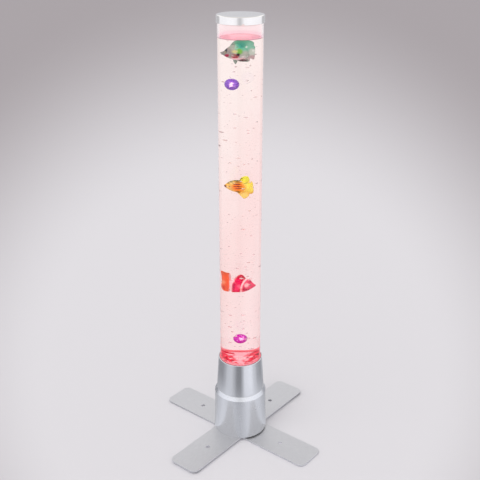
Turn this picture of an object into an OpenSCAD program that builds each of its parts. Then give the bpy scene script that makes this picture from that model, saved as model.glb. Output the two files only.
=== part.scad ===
// Bubble tube floor lamp: a clear water-filled tube with drifting fish and balls, held in a tapered
// collar on a round can, which stands on two crossed steel bars. The can hides a vibrating-arm air
// pump, its control board and the leads; the lights sit under the clear plug that closes the tube.
// Millimetres, +Z up, origin on the floor under the tube. The lower bar lies along X, the upper along Y.

/* [Tube] */
// Outside diameter of the clear tube
tube_d = 90; // [88:1:100]
// Wall thickness of the clear tube
tube_wall = 4; // [3:0.5:5]
// Length of the clear tube
tube_h = 826; // [800:2:1200]
// Thickness of the rubber ring under the tube
cushion_t = 2; // [1:0.5:4]

/* [Cap] */
// Thickness of the cap's top
cap_top_t = 3.5; // [3:0.5:6]
// Wall of the cap's skirt outside the tube
cap_wall = 1.9; // [1.5:0.1:3]
// How far the skirt reaches down over the tube
cap_skirt = 11.8; // [8:0.1:20]
// How far the spigot reaches down inside the tube
spigot_depth = 14; // [10:1:25]
// Wall of the spigot
spigot_wall = 2; // [1.5:0.5:4]
// Radius of the cap's rounded top edge
cap_round = 2; // [1:0.5:3]
// Height of the vent notches in the skirt
vent_h = 2; // [1:0.5:3]
// Width of the vent notches
vent_w = 5; // [3:1:8]

/* [Collar] */
// Height of the tapered collar
collar_h = 79; // [70:1:100]
// Thickness of the collar's rim round the tube
collar_rim = 3.9; // [3:0.1:6]
// How much wider the collar's foot is than its rim, on the radius
collar_flare = 4.5; // [3:0.5:10]
// Wall of the collar below its rim
collar_wall = 2.4; // [2:0.1:3]
// Height of the rim's land against the tube
rim_land = 9; // [5:1:15]
// Thickness of the ribs that centre the tube
rib_t = 2; // [1.5:0.5:3]
// Number of those ribs
rib_n = 8; // [4:4:12]

/* [Can] */
// Height of the can's side, from its foot to the shoulder
can_h = 97; // [90:1:120]
// Height of the bright shoulder above the side
shoulder_h = 9.4; // [7:0.1:12]
// How far the shoulder stands out from the collar's foot
shoulder_w = 4.7; // [3:0.1:7]
// How much wider the can's foot is than its shoulder, on the radius
can_draft = 1.5; // [0:0.1:3]
// Wall of the can
can_wall = 2.5; // [2:0.1:3]
// Thickness of the deck that the tube stands on
deck_t = 3; // [2:0.5:4]
// Thickness of the base plate
plate_t = 3; // [2.5:0.5:5]
// Diameter of the deck's middle hole, for the hose and leads
deck_hole_d = 24; // [22:1:30]

/* [Bars] */
// Length of each bar
bar_l = 408; // [360:2:460]
// Width of each bar
bar_w = 75; // [70:1:84]
// Thickness of each bar
bar_t = 3; // [3:0.5:5]
// Corner radius of the bars
bar_r = 14; // [8:1:20]
// Distance between a bar's two floor-fixing holes
floor_hole_gap = 234; // [200:2:280]
// Diameter of the floor-fixing holes
floor_hole_d = 9; // [6:0.5:11]
// Distance between neighbouring bar screws in the middle of the cross
bar_screw_gap = 46; // [40:1:50]
// Thickness of the rubber pads under the lower bar
pad_t = 2; // [1.5:0.5:4]
// Diameter of the rubber pads
pad_d = 15; // [12:1:18]
// Distance from a pad's middle to the bar's end
pad_inset = 16; // [12:1:24]
// Distance from a pad's middle to the bar's side
pad_side = 12; // [10:1:14]

/* [Plug] */
// Thickness of the clear plug
plug_t = 12; // [10:1:16]
// How far the plug's top lies below the collar's rim
plug_sink = 2; // [0:0.5:5]
// Diameter of the seal rings' section
seal_d = 2.4; // [2:0.1:3]
// Diameter of the nozzle's flange
nozzle_flange_d = 18; // [14:1:22]
// Thickness of the nozzle's flange
nozzle_flange_t = 2.5; // [2:0.5:4]
// Diameter of the nozzle's stem
stem_d = 8; // [7:0.5:10]
// Thickness of the washer under the flange
washer_t = 1; // [0.5:0.5:2]
// Across-flats width of the nozzle's nut
nozzle_nut_af = 13; // [12:1:15]
// Thickness of the nozzle's nut
nozzle_nut_t = 5; // [4:0.5:6]
// Diameter of the air way
air_bore = 2; // [1.5:0.5:2.5]
// Outside diameter of the hose
hose_d = 6; // [5.5:0.5:7]
// Inside diameter of the hose
hose_bore = 4; // [3.5:0.5:4]

/* [Lights] */
// Diameter of the light board
light_board_d = 74; // [66:1:76]
// Thickness of every circuit board
board_t = 1.6; // [1.2:0.2:2]
// Number of lights on the board
led_n = 12; // [6:1:16]
// Side of one light
led_w = 5; // [3:0.5:6]
// Height of one light
led_t = 1.6; // [1:0.2:2]
// Radius of the ring of lights
led_ring_r = 26; // [22:1:29]
// Gap between the lights' board and the plug
light_gap = 6; // [5:0.5:10]
// Radius of the circle of board posts
post_ring_r = 33; // [30:1:33]

/* [Rear panel] */
// Height of the power socket above the can's foot
jack_z = 19; // [16:1:22]
// Height of the colour button above the can's foot
button_z = 42; // [38:1:50]
// Depth of the flat panel below the can's widest radius
panel_sink = 2.2; // [1.8:0.1:2.6]
// Thickness of the wall behind the flat
panel_t = 3; // [2.5:0.5:4]
// Diameter of the power plug's way in
jack_bore = 6.4; // [6:0.1:6.6]
// Diameter of the power socket's centre pin
jack_pin_d = 2.1; // [2.1:0.4:2.5]
// Diameter of the colour button
button_d = 10; // [8:1:12]
// Travel of the colour button
button_travel = 0.8; // [0.5:0.1:1.2]

/* [Pump] */
// Length of the pump's tray
tray_l = 80; // [80:1:82]
// Width of the pump's tray
tray_w = 44; // [44:1:46]
// Thickness of the pump's tray
tray_t = 2.5; // [2:0.5:4]
// Height of the rubber feet under the tray
foot_h = 6; // [4:1:10]
// Height of the iron core's stack
core_h = 18; // [14:1:20]
// Thickness of the pump's arm
arm_t = 3; // [2:0.5:3.5]
// Diameter of the arm's pivot pin
pivot_d = 3; // [2:0.5:4]
// Diameter of the diaphragm
diaphragm_d = 24; // [20:1:25]

/* [Floats] */
// Heading of the fish, seen from above
fish_turn = 39; // [0:1:90]
// Diameter of the coloured balls
ball_d = 22.5; // [18:0.5:26]
// How far the green fish's snout lies below the tube's top
green_fish_drop = 68.5; // [60:0.5:72]
// How far the purple ball's middle lies below the tube's top
purple_ball_drop = 129; // [118:1:150]
// Height of the orange fish's snout above the plug
orange_fish_z = 411.5; // [380:0.5:440]
// Height of the banded fish's snout above the plug
banded_fish_z = 182; // [160:1:220]
// Height of the pink ball's middle above the plug
pink_ball_z = 52; // [40:1:80]

/* [Hidden] */
$fn = 72;

// Clearances
slip = 0.35;        // between the tube and the collar's land, and round the base plate
cap_slip = 0.4;     // between the cap and the tube, inside and out
joint_gap = 0.05;   // bonded or clamped joints, on the radius
run_gap = 0.08;     // running fits, on the radius
through = 1;        // how far a cutting tool runs past the face it cuts

// Radii from the tube outwards
tube_r = tube_d / 2;
tube_in_r = tube_r - tube_wall;
rim_r = tube_r + slip + collar_rim;
collar_foot_r = rim_r + collar_flare;
can_top_r = collar_foot_r + shoulder_w;
can_foot_r = can_top_r + can_draft;
can_in_r = can_foot_r - can_wall;
plate_r = can_in_r - slip;
cap_r = tube_r + cap_slip + cap_wall;

// Levels from the floor up
z_lower_bar = pad_t;
z_upper_bar = z_lower_bar + bar_t;
z_can = z_upper_bar + bar_t;
z_plate_top = z_can + plate_t;
z_shoulder = z_can + can_h;
z_deck = z_shoulder + shoulder_h;
z_deck_under = z_deck - deck_t;
z_tube = z_deck + cushion_t;
z_tube_top = z_tube + tube_h;
z_rim = z_deck + collar_h;
z_plug = z_rim - plug_sink;
z_plug_under = z_plug - plug_t;
z_light_board = z_plug_under - light_gap - board_t;

// Small fasteners: pilot, shank and head radii
m3_pilot = 1.25;
m3_shank = 1.5;
m3_hole = 1.6;
m3_head_r = 2.6;
m3_head_t = 2;
m5_shank = 2.5;
m5_hole = 2.75;
m5_head_r = 4.6;
m5_head_t = 2.5;
m5_nut_af = 8;
m5_nut_t = 4;
post_af = 5.5;

// Points on an arc about (cx, cy) from angle a0 to a1
function arc(cx, cy, r, a0, a1, n = 6) =
    [for (i = [0:n]) [cx + r * cos(a0 + (a1 - a0) * i / n), cy + r * sin(a0 + (a1 - a0) * i / n)]];

// A rectangle about the origin with round corners
function round_rect(w, h, r) = concat(
    arc(w / 2 - r, h / 2 - r, r, 0, 90), arc(r - w / 2, h / 2 - r, r, 90, 180),
    arc(r - w / 2, r - h / 2, r, 180, 270), arc(w / 2 - r, r - h / 2, r, 270, 360));

module plate(w, h, r, t) {
    linear_extrude(t) polygon(round_rect(w, h, r));
}

// A bore up through a plate of thickness t, running past both its faces
module bore(r, t, sides = 32) {
    translate([0, 0, -through]) cylinder(r = r, h = t + 2 * through, $fn = sides);
}

module ring(r_out, r_in, h) {
    difference() {
        cylinder(r = r_out, h = h);
        bore(r_in, h, $fn);
    }
}

// A slot along X with round ends
module slot(l, w, h) {
    for (side = [-1, 1]) translate([side * (l - w) / 2, 0, 0]) cylinder(r = w / 2, h = h, $fn = 24);
    translate([(w - l) / 2, -w / 2, 0]) cube([l - w, w, h]);
}

module hexagon(af, h) {
    cylinder(r = af / sqrt(3), h = h, $fn = 6);
}

module hex_nut(af, bore_r, h) {
    difference() {
        hexagon(af, h);
        bore(bore_r, h);
    }
}

module tapped_post(af, h) {
    hex_nut(af, m3_pilot, h);
}

module around(n, r, start = 0) {
    for (i = [0:n - 1]) rotate([0, 0, start + 360 * i / n]) translate([r, 0, 0]) children();
}

// A pan-head screw that points up, its head's top at z = 0 and its shank above
module pan_screw_up(shank_l) {
    edge = 0.8;
    rotate_extrude($fn = 32) polygon(concat([[0, 0]], arc(m3_head_r - edge, edge, edge, -90, 0, 4),
        [[m3_head_r, m3_head_t], [m3_pilot, m3_head_t], [m3_pilot, m3_head_t + shank_l],
        [0, m3_head_t + shank_l]]));
}

// A countersunk screw that points up, its head flush with z = 0
module flat_screw_up(head_r, head_t, shank_r, shank_l) {
    rotate_extrude($fn = 32) polygon([[0, 0], [head_r, 0], [shank_r, head_t], [shank_r, shank_l],
        [0, shank_l]]);
}

// The rear of the lamp: local +X points out of the power socket, between the two bars
rear_turn = 135;
panel_x = can_foot_r - panel_sink;
panel_in = panel_x - panel_t;
panel_margin = 12;      // flat above the button and below the socket
panel_half = sqrt(pow(can_foot_r, 2) - pow(panel_x, 2)) + 1.5;
panel_low = jack_z - panel_margin;
panel_high = button_z + panel_margin;

module rear(z) {
    rotate([0, 0, rear_turn]) translate([0, 0, z_can + z]) children();
}

// Turns a piece made along +Z so that it lies along the rear's +X, its foot at x
module outward(x) {
    translate([x, 0, 0]) rotate([0, 90, 0]) children();
}

// ---------------------------------------------------------------- tube and cap

module tube() {
    color([0.93, 0.95, 0.96, 0.35]) translate([0, 0, z_tube]) ring(tube_r, tube_in_r, tube_h);
}

module top_cap() {
    spigot_r = tube_in_r - cap_slip;
    lead_in = 0.8;
    color("gainsboro") difference() {
        translate([0, 0, z_tube_top]) rotate_extrude() polygon(concat(
            [[0, 0], [spigot_r - spigot_wall, 0], [spigot_r - spigot_wall, -spigot_depth],
            [spigot_r - lead_in, -spigot_depth], [spigot_r, 2 * lead_in - spigot_depth], [spigot_r, 0],
            [tube_r + cap_slip, 0], [tube_r + cap_slip, -cap_skirt], [cap_r, -cap_skirt]],
            arc(cap_r - cap_round, cap_top_t - cap_round, cap_round, 0, 90),
            [[0, cap_top_t]]));
        // vent notches let the pumped air out: two in the skirt, and in line with them two in the spigot
        for (turn = [0, 180]) rotate([0, 0, rear_turn + turn]) {
            translate([tube_r, -vent_w / 2, z_tube_top - cap_skirt - through])
                cube([cap_r, vent_w, vent_h + through]);
            translate([spigot_r - spigot_wall - through, -vent_w / 2, z_tube_top - spigot_depth - through])
                cube([spigot_wall + 2 * through, vent_w, spigot_depth + through]);
        }
    }
}

// ---------------------------------------------------------------- collar, can and base plate

collar_boss_r = tube_r + slip + 3.2;     // circle of the screws that hold the collar on the deck
boss_r = 2.8;
boss_h = 18;
boss_hole_h = 12;
rib_out_r = collar_foot_r - collar_wall / 2;

module collar() {
    rib_top = collar_h - rim_land;
    land_r = tube_r + slip;
    rim_round = 1.2;
    color("silver") translate([0, 0, z_deck]) {
        difference() {
            union() {
                rotate_extrude() polygon(concat(
                    [[collar_foot_r - collar_wall, 0], [collar_foot_r, 0]],
                    arc(rim_r - rim_round, collar_h - rim_round, rim_round, 4, 90),
                    [[land_r, collar_h], [land_r, rib_top], [rim_r - collar_wall, rib_top]]));
                // upright ribs centre the tube below the land
                for (i = [0:rib_n - 1]) rotate([0, 0, 360 * (i + 0.5) / rib_n])
                    translate([0, rib_t / 2, 0]) rotate([90, 0, 0]) linear_extrude(rib_t)
                        polygon([[land_r, 0], [rib_out_r, 0],
                            [rim_r - collar_wall / 2, rib_top + 1], [land_r, rib_top + 1]]);
                // screw bosses stand on the deck against the wall
                around(4, collar_boss_r, 45) intersection() {
                    cylinder(r = boss_r, h = boss_h, $fn = 32);
                    translate([-boss_r, -boss_r, 0])
                        cube([rib_out_r - collar_boss_r + boss_r, 2 * boss_r, boss_h]);
                }
            }
            around(4, collar_boss_r, 45) translate([0, 0, -through])
                cylinder(r = m3_pilot, h = boss_hole_h + through, $fn = 32);
            // the tube's way through the bosses
            bore(land_r, collar_h, $fn);
        }
    }
}

module collar_screws() {
    color("dimgray") around(4, collar_boss_r, 45)
        translate([0, 0, z_deck_under - m3_head_t]) pan_screw_up(deck_t + boss_hole_h - 3);
}

module tube_cushion() {
    color([0.2, 0.2, 0.2]) translate([0, 0, z_deck]) ring(tube_r, tube_in_r - 1, cushion_t);
}

plate_boss_r = can_in_r - 5.5;      // circle of the screws that hold the base plate
plate_boss_h = 14;
plate_hole_h = 10;
rib_w = 3;

module can_shell() {
    edge = 1.2;
    in_top_r = can_top_r - can_wall;
    rotate_extrude() polygon(concat(
        [[can_in_r, z_can], [can_foot_r, z_can]],
        arc(can_top_r - edge, z_shoulder - edge * 0.4, edge, 0, 25, 3),
        [[collar_foot_r + 0.4, z_deck - 0.5], [collar_foot_r, z_deck], [0, z_deck],
        [0, z_deck_under], [collar_foot_r - can_wall, z_deck_under], [in_top_r, z_shoulder - 2]]));
}

module base_can() {
    color("silver") difference() {
        union() {
            can_shell();
            // bosses that take the base plate's screws
            around(4, plate_boss_r) translate([0, 0, z_plate_top]) difference() {
                union() {
                    cylinder(r = 4, h = plate_boss_h, $fn = 32);
                    translate([0, -rib_w / 2, 0])
                        cube([can_in_r + can_wall / 2 - plate_boss_r, rib_w, plate_boss_h]);
                }
                translate([0, 0, -through]) cylinder(r = m3_pilot, h = plate_hole_h + through, $fn = 32);
            }
            // the flat rear panel is backed by a pad inside the wall
            rear(panel_low - 2) translate([panel_in, -panel_half, 0])
                cube([panel_t - 0.2, 2 * panel_half, panel_high - panel_low + 4]);
            // posts behind the panel carry the button's board
            rear(button_z) for (side = [-1, 1]) translate([0, side * button_screw_y, 0])
                outward(button_board_x + board_t)
                    cylinder(r = button_post_r, h = panel_in - button_board_x, $fn = 32);
        }
        rear(panel_low) translate([panel_x, -2 * panel_half, 0])
            cube([2 * panel_half, 4 * panel_half, panel_high - panel_low]);
        rear(jack_z) outward(panel_in) bore(jack_thread_r + joint_gap, panel_t, 48);
        rear(button_z) outward(panel_in) bore(button_d / 2 + run_gap, panel_t, 48);
        rear(button_z) for (side = [-1, 1]) translate([0, side * button_screw_y, 0])
            outward(button_board_x) cylinder(r = m3_pilot, h = 7, $fn = 32);
        // the deck's holes: hose and leads, collar, light posts and control posts
        translate([0, 0, z_deck_under]) {
            bore(deck_hole_d / 2, deck_t, 48);
            around(4, collar_boss_r, 45) bore(m3_hole, deck_t);
            around(3, post_ring_r) bore(m3_shank, deck_t);
            control_corners() bore(m3_shank, deck_t);
        }
    }
}

air_slot_r = plate_r - 13;
air_slot = [9, 2.4];        // length and width
air_slot_pitch = 5;
flat_head_t = 1.55;

module base_plate() {
    color("silver") translate([0, 0, z_can]) difference() {
        cylinder(r = plate_r, h = plate_t);
        around(4, plate_boss_r) bore(m3_hole, plate_t);
        around(4, plate_boss_r) translate([0, 0, -0.01])
            cylinder(r1 = m3_head_r + 0.11, r2 = m3_hole, h = flat_head_t + 0.05, $fn = 32);
        bar_screw_places() bore(m5_hole, plate_t);
        foot_places() bore(foot_nib_r + joint_gap, plate_t);
        // three air slots in each quarter
        around(4, air_slot_r, 45) for (k = [-1, 0, 1]) translate([0, air_slot_pitch * k, -through])
            slot(air_slot[0], air_slot[1], plate_t + 2 * through);
    }
}

module plate_screws() {
    color("dimgray") around(4, plate_boss_r) translate([0, 0, z_can])
        flat_screw_up(m3_head_r, flat_head_t, m3_pilot, plate_t + plate_hole_h - 2);
}

// ---------------------------------------------------------------- crossed bars and pads

module bar_screw_places() {
    for (x = [-1, 1], y = [-1, 1]) translate([x, y, 0] * bar_screw_gap / 2) children();
}

module bar_blank() {
    difference() {
        plate(bar_l, bar_w, bar_r, bar_t);
        for (side = [-1, 1]) translate([side * floor_hole_gap / 2, 0, 0])
            bore(floor_hole_d / 2, bar_t, 48);
        bar_screw_places() bore(m5_hole, bar_t);
    }
}

module lower_bar() {
    color("lightgray") translate([0, 0, z_lower_bar]) difference() {
        bar_blank();
        bar_screw_places() translate([0, 0, -0.01])
            cylinder(r1 = m5_head_r + 0.1, r2 = m5_shank + 0.1, h = m5_head_t, $fn = 32);
    }
}

module upper_bar() {
    color("lightgray") translate([0, 0, z_upper_bar]) rotate([0, 0, 90]) bar_blank();
}

// A rubber pad at each corner of a bar, with a rounded foot
module pads(h) {
    foot = 0.8;
    for (x = [-1, 1], y = [-1, 1])
        translate([x * (bar_l / 2 - pad_inset), y * (bar_w / 2 - pad_side), 0])
            rotate_extrude($fn = 48) polygon(concat([[0, 0]],
                arc(pad_d / 2 - foot, foot, foot, -90, 0, 3), [[pad_d / 2 - 0.3, h], [0, h]]));
}

module lower_bar_pads() {
    color([0.15, 0.15, 0.16]) pads(z_lower_bar);
}

module upper_bar_pads() {
    color([0.15, 0.15, 0.16]) rotate([0, 0, 90]) pads(z_upper_bar);
}

module bar_screws() {
    color("gray") bar_screw_places() translate([0, 0, z_lower_bar])
        flat_screw_up(m5_head_r, m5_head_t, m5_shank, 2 * bar_t + plate_t + m5_nut_t + 1);
}

module bar_nuts() {
    color("gray") bar_screw_places() translate([0, 0, z_plate_top])
        hex_nut(m5_nut_af, m5_shank + joint_gap, m5_nut_t);
}

// ---------------------------------------------------------------- plug and nozzle

seal_r = seal_d / 2;
seal_mid_r = tube_in_r - 0.02 - seal_r;
seal_levels = [plug_t * 0.3, plug_t * 0.7];
groove_gap = 0.15;      // room above and below a seal ring in its groove

module tube_plug() {
    color([0.9, 0.93, 0.95, 0.5]) translate([0, 0, z_plug_under]) difference() {
        cylinder(r = tube_in_r - joint_gap, h = plug_t);
        bore(stem_d / 2 + joint_gap, plug_t, 48);
        for (z = seal_levels) translate([0, 0, z - seal_r - groove_gap])
            ring(tube_r, seal_mid_r - seal_r - joint_gap, seal_d + 2 * groove_gap);
    }
}

module plug_seals() {
    color([0.85, 0.85, 0.85]) for (z = seal_levels) translate([0, 0, z_plug_under + z])
        rotate_extrude() translate([seal_mid_r, 0]) circle(r = seal_r, $fn = 24);
}

nozzle_stem_l = plug_t + nozzle_nut_t + 2;
nozzle_tail_l = 12;
z_nozzle_tail = z_plug - nozzle_stem_l - nozzle_tail_l;
barb_r = hose_bore / 2;

// A hose barb along +Z: a stub with one raised lip near its end
module barb_profile(z0, length) {
    translate([0, 0, z0]) rotate_extrude($fn = 32) polygon([[0, 0], [barb_r - 0.1, 0],
        [barb_r - 0.1, length - 3], [barb_r - 0.02, length - 2.6], [barb_r - 0.4, length], [0, length]]);
}

module air_nozzle() {
    flange_r = nozzle_flange_d / 2;
    cone_h = 1.5;
    way_l = z_plug + washer_t + nozzle_flange_t + cone_h - z_nozzle_tail;
    color("whitesmoke") difference() {
        union() {
            translate([0, 0, z_plug + washer_t]) rotate_extrude() polygon(concat(
                [[0, 0], [flange_r, 0]], arc(flange_r - 1, 1, 1, 0, 60, 3),
                [[flange_r / 2, nozzle_flange_t], [flange_r / 2 - 1.3, nozzle_flange_t + cone_h],
                [0, nozzle_flange_t + cone_h]]));
            translate([0, 0, z_plug - nozzle_stem_l])
                cylinder(r = stem_d / 2, h = nozzle_stem_l + 2, $fn = 48);
            translate([0, 0, z_plug - nozzle_stem_l + 0.1]) rotate([180, 0, 0])
                barb_profile(0, nozzle_tail_l);
        }
        translate([0, 0, z_nozzle_tail]) bore(air_bore / 2, way_l, 24);
    }
}

module nozzle_washer() {
    color([0.9, 0.6, 0.6]) translate([0, 0, z_plug])
        ring(nozzle_flange_d / 2 - 0.5, stem_d / 2 + joint_gap, washer_t);
}

module nozzle_nut() {
    color("whitesmoke") translate([0, 0, z_plug_under - nozzle_nut_t])
        hex_nut(nozzle_nut_af, stem_d / 2 + joint_gap, nozzle_nut_t);
}

// ---------------------------------------------------------------- lights

z_light_top = z_light_board + board_t;
light_hole_r = 12;

module light_board() {
    color("white") translate([0, 0, z_light_board]) difference() {
        ring(light_board_d / 2, light_hole_r, board_t);
        around(3, post_ring_r) bore(m3_hole, board_t);
    }
}

module lights() {
    color("tomato") translate([0, 0, z_light_top]) around(led_n, led_ring_r, 180 / led_n)
        difference() {
            translate([-led_w / 2, -led_w / 2, 0]) cube([led_w, led_w, led_t]);
            // the shallow cup that holds the lit lens
            translate([0, 0, led_t - 0.4]) cylinder(r = led_w / 2 - 0.6, h = through, $fn = 24);
        }
}

module light_posts() {
    color("goldenrod") around(3, post_ring_r) translate([0, 0, z_deck])
        tapped_post(post_af, z_light_board - z_deck);
}

module light_screws() {
    color("dimgray") around(3, post_ring_r) {
        translate([0, 0, z_light_top + m3_head_t]) rotate([180, 0, 0]) pan_screw_up(board_t + 5);
        translate([0, 0, z_deck_under - m3_head_t]) pan_screw_up(deck_t + 5);
    }
}

// ---------------------------------------------------------------- air line

valve_body_h = 10;
valve_r = 7;
valve_barb_l = 10;
z_valve = (z_deck + z_nozzle_tail) / 2 - valve_body_h / 2;
hose_over = 8;      // how far each hose is pushed over its barb

module check_valve() {
    color([0.35, 0.6, 0.85]) difference() {
        union() {
            // two cones, joined at a raised rim
            translate([0, 0, z_valve]) rotate_extrude() polygon([[0, 0], [valve_r / 2, 0], [valve_r - 1, 3],
                [valve_r - 1, 3.5], [valve_r, 4], [valve_r, 6], [valve_r - 1, 6.5],
                [valve_r - 1, 7], [valve_r / 2, valve_body_h], [0, valve_body_h]]);
            translate([0, 0, z_valve + valve_body_h - 0.1]) barb_profile(0, valve_barb_l);
            translate([0, 0, z_valve + 0.1]) rotate([180, 0, 0]) barb_profile(0, valve_barb_l);
        }
        translate([0, 0, z_valve - valve_barb_l]) bore(air_bore / 2, valve_body_h + 2 * valve_barb_l, 24);
    }
}

module upper_hose() {
    z0 = z_valve + valve_body_h + valve_barb_l - hose_over;
    color([0.85, 0.88, 0.9, 0.7]) translate([0, 0, z0])
        ring(hose_d / 2, hose_bore / 2, z_nozzle_tail + hose_over - z0);
}

// A smooth S from (x0, y0, z0) up to (x1, y1, z1), both ends upright
function s_route(a, b, n) = [for (i = [0:n]) let (t = i / n, s = t * t * (3 - 2 * t))
    [a[0] + (b[0] - a[0]) * s, a[1] + (b[1] - a[1]) * s, a[2] + (b[2] - a[2]) * t]];

function unit(v) = v / norm(v);

// A cubic curve that leaves a along the vector u and reaches b along the vector v
function curve(a, u, b, v, n) = [for (i = [0:n]) let (t = i / n, k = 1 - t)
    k * k * k * a + 3 * k * k * t * (a + u) + 3 * k * t * t * (b - v) + t * t * t * b];

// Directions along a route p that leaves along u and arrives along v
function headings(p, u, v) = [for (i = [0:len(p) - 1])
    i == 0 ? unit(u) : i == len(p) - 1 ? unit(v) : unit(p[i + 1] - p[i - 1])];

// A tube of radius r with the given number of sides, swept along the points p, its ends square to u and v
module sweep(p, u, v, r, sides) {
    h = headings(p, u, v);
    n = len(p);
    side_way = unit(cross(h[0], [0.31, 0.83, 0.11]));
    ways = [for (i = [0:n - 1]) let (w = side_way - h[i] * (side_way * h[i])) unit(w)];
    rings = [for (i = [0:n - 1]) for (k = [0:sides - 1])
        let (a = 360 * k / sides) p[i] + r * (cos(a) * ways[i] + sin(a) * cross(h[i], ways[i]))];
    walls = [for (i = [0:n - 2]) for (k = [0:sides - 1]) each let (
        a = i * sides + k, b = i * sides + (k + 1) % sides)
        [[a, a + sides, b], [b, a + sides, b + sides]]];
    first = [for (k = [1:sides - 2]) [0, k, k + 1]];
    last = [for (k = [1:sides - 2]) [0, k + 1, k] + [1, 1, 1] * (n - 1) * sides];
    polyhedron(rings, concat(walls, first, last));
}

module lower_hose() {
    from = [outlet_x, outlet_y, z_outlet - hose_over];
    to = [0, 0, z_valve - valve_barb_l + hose_over];
    sides = 12;
    up = [0, 0, hose_over];
    rise = s_route(from + up, to - up, 16);
    color([0.85, 0.88, 0.9, 0.7]) difference() {
        sweep(concat([from, from + up / 2], rise, [to - up / 2, to]), up, up, hose_d / 2, sides);
        sweep(concat([from - up / 2, from + up / 2], rise, [to - up / 2, to + up / 2]), up, up,
            hose_bore / 2 / cos(180 / sides), sides);
    }
}

// ---------------------------------------------------------------- control board

control_l = 62;
control_w = 34;
control_y = 26;     // the middle of the board, behind the hose
control_drop = 12;
control_inset = 4;  // from the board's edges to its screws
plug_h = 6;         // height of the connectors under the board
z_control_top = z_deck_under - control_drop;
z_control = z_control_top - board_t;

module control_corners() {
    for (x = [-1, 1], y = [-1, 1])
        translate([x * (control_l / 2 - control_inset), control_y + y * (control_w / 2 - control_inset), 0])
            children();
}

module control_board() {
    color("darkgreen") difference() {
        translate([0, control_y, z_control]) plate(control_l, control_w, 2, board_t);
        translate([0, 0, z_control]) control_corners() bore(m3_hole, board_t);
    }
}

// Hexagonal posts, each with a stud that screws up into the deck
module control_posts() {
    color("goldenrod") control_corners() {
        translate([0, 0, z_control_top]) tapped_post(post_af, control_drop);
        translate([0, 0, z_deck_under - 1]) cylinder(r = m3_shank - 0.05, h = deck_t + 0.5, $fn = 32);
    }
}

module control_screws() {
    color("dimgray") control_corners() translate([0, 0, z_control - m3_head_t]) pan_screw_up(board_t + 4);
}

// Chips and connectors hang under the board
module board_parts() {
    color([0.15, 0.15, 0.18]) translate([0, control_y, z_control]) mirror([0, 0, 1]) {
        translate([-6, -4, 0]) cube([12, 8, 2]);
        translate([9, -8, 0]) cube([6, 5, 1.6]);
        translate([-12, 5, 0]) cylinder(r = 4, h = 12, $fn = 32);
        translate([12, 4, 0]) cylinder(r = 3, h = 9, $fn = 32);
        translate([-18, -13, 0]) cube([7.5, 6, plug_h]);
        translate([-25, -5, 0]) cube([6, 10, plug_h]);
        translate([2, -15, 0]) cube([10, 5, plug_h]);
    }
}

// ---------------------------------------------------------------- rear panel

jack_thread_r = 5.5;
jack_flange_r = 7;
jack_flange_t = 1.8;
jack_body_l = 16;
jack_depth = 10;
jack_pin_back = 0.5;        // how far the pin's tip lies behind the mouth
jack_tag = [3.5, 0.8, 2.4]; // solder tags behind the socket
socket_nut_t = 2.5;
socket_nut_af = 14;

module power_socket() {
    jack_foot = panel_x - jack_body_l;
    mouth = panel_x + jack_flange_t;
    edge = 0.6;
    color([0.12, 0.12, 0.13]) rear(jack_z) difference() {
        union() {
            difference() {
                union() {
                    outward(panel_x) rotate_extrude($fn = 48) polygon(concat([[0, 0], [jack_flange_r, 0]],
                        arc(jack_flange_r - edge, jack_flange_t - edge, edge, 0, 90, 3),
                        [[0, jack_flange_t]]));
                    outward(jack_foot) cylinder(r = jack_thread_r, h = jack_body_l + 0.5, $fn = 48);
                    for (y = [-2.5, 2.5])
                        translate([jack_foot - jack_tag[0], y - jack_tag[1] / 2, -jack_tag[2] / 2])
                            cube([jack_tag[0] + 0.5, jack_tag[1], jack_tag[2]]);
                }
                outward(mouth - jack_depth) cylinder(r = jack_bore / 2, h = jack_depth + through, $fn = 48);
            }
            // the pin stands up from the bore's floor
            outward(mouth - jack_depth - jack_pin_back)
                cylinder(r = jack_pin_d / 2, h = jack_depth, $fn = 32);
        }
    }
}

module socket_nut() {
    color("lightgray") rear(jack_z) outward(panel_in - socket_nut_t)
        hex_nut(socket_nut_af, jack_thread_r + joint_gap, socket_nut_t);
}

button_out = 1.6;
button_flange_t = 1.5;
button_stem_l = 3.4;
plunger_l = 1.6;
switch_t = 3.5;
button_back_x = panel_in - 0.2 - button_flange_t;
plunger_x = button_back_x - button_stem_l - 0.05;
switch_front_x = plunger_x - plunger_l;
button_board_x = switch_front_x - switch_t - board_t;
button_screw_y = 9.2;
button_post_r = 2.4;
button_rim = 1.4;           // how far the button's rim stands out behind the panel
button_stem_r = 2;
plunger_r = 1.7;
plunger_in = 0.9;           // how far the plunger stands inside the switch
switch_w = 6;

module colour_button() {
    r = button_d / 2;
    length = panel_x + button_out - button_back_x;
    color("whitesmoke") rear(button_z) outward(button_back_x) rotate_extrude($fn = 48) polygon(concat(
        [[0, -button_stem_l], [button_stem_r, -button_stem_l], [button_stem_r, 0], [r + button_rim, 0],
        [r + button_rim, button_flange_t], [r, button_flange_t]],
        arc(r - 0.8, length - 0.8, 0.8, 0, 90, 3), [[0, length - 0.25]]));
}

module button_plunger() {
    color([0.12, 0.12, 0.13]) rear(button_z) outward(switch_front_x - plunger_in)
        cylinder(r = plunger_r, h = plunger_l + plunger_in, $fn = 32);
}

module button_switch() {
    color([0.3, 0.3, 0.32]) rear(button_z) difference() {
        translate([switch_front_x - switch_t, -switch_w / 2, -switch_w / 2])
            cube([switch_t, switch_w, switch_w]);
        outward(switch_front_x - plunger_in - button_travel - 0.2)
            cylinder(r = plunger_r + run_gap, h = switch_t, $fn = 32);
    }
}

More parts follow.
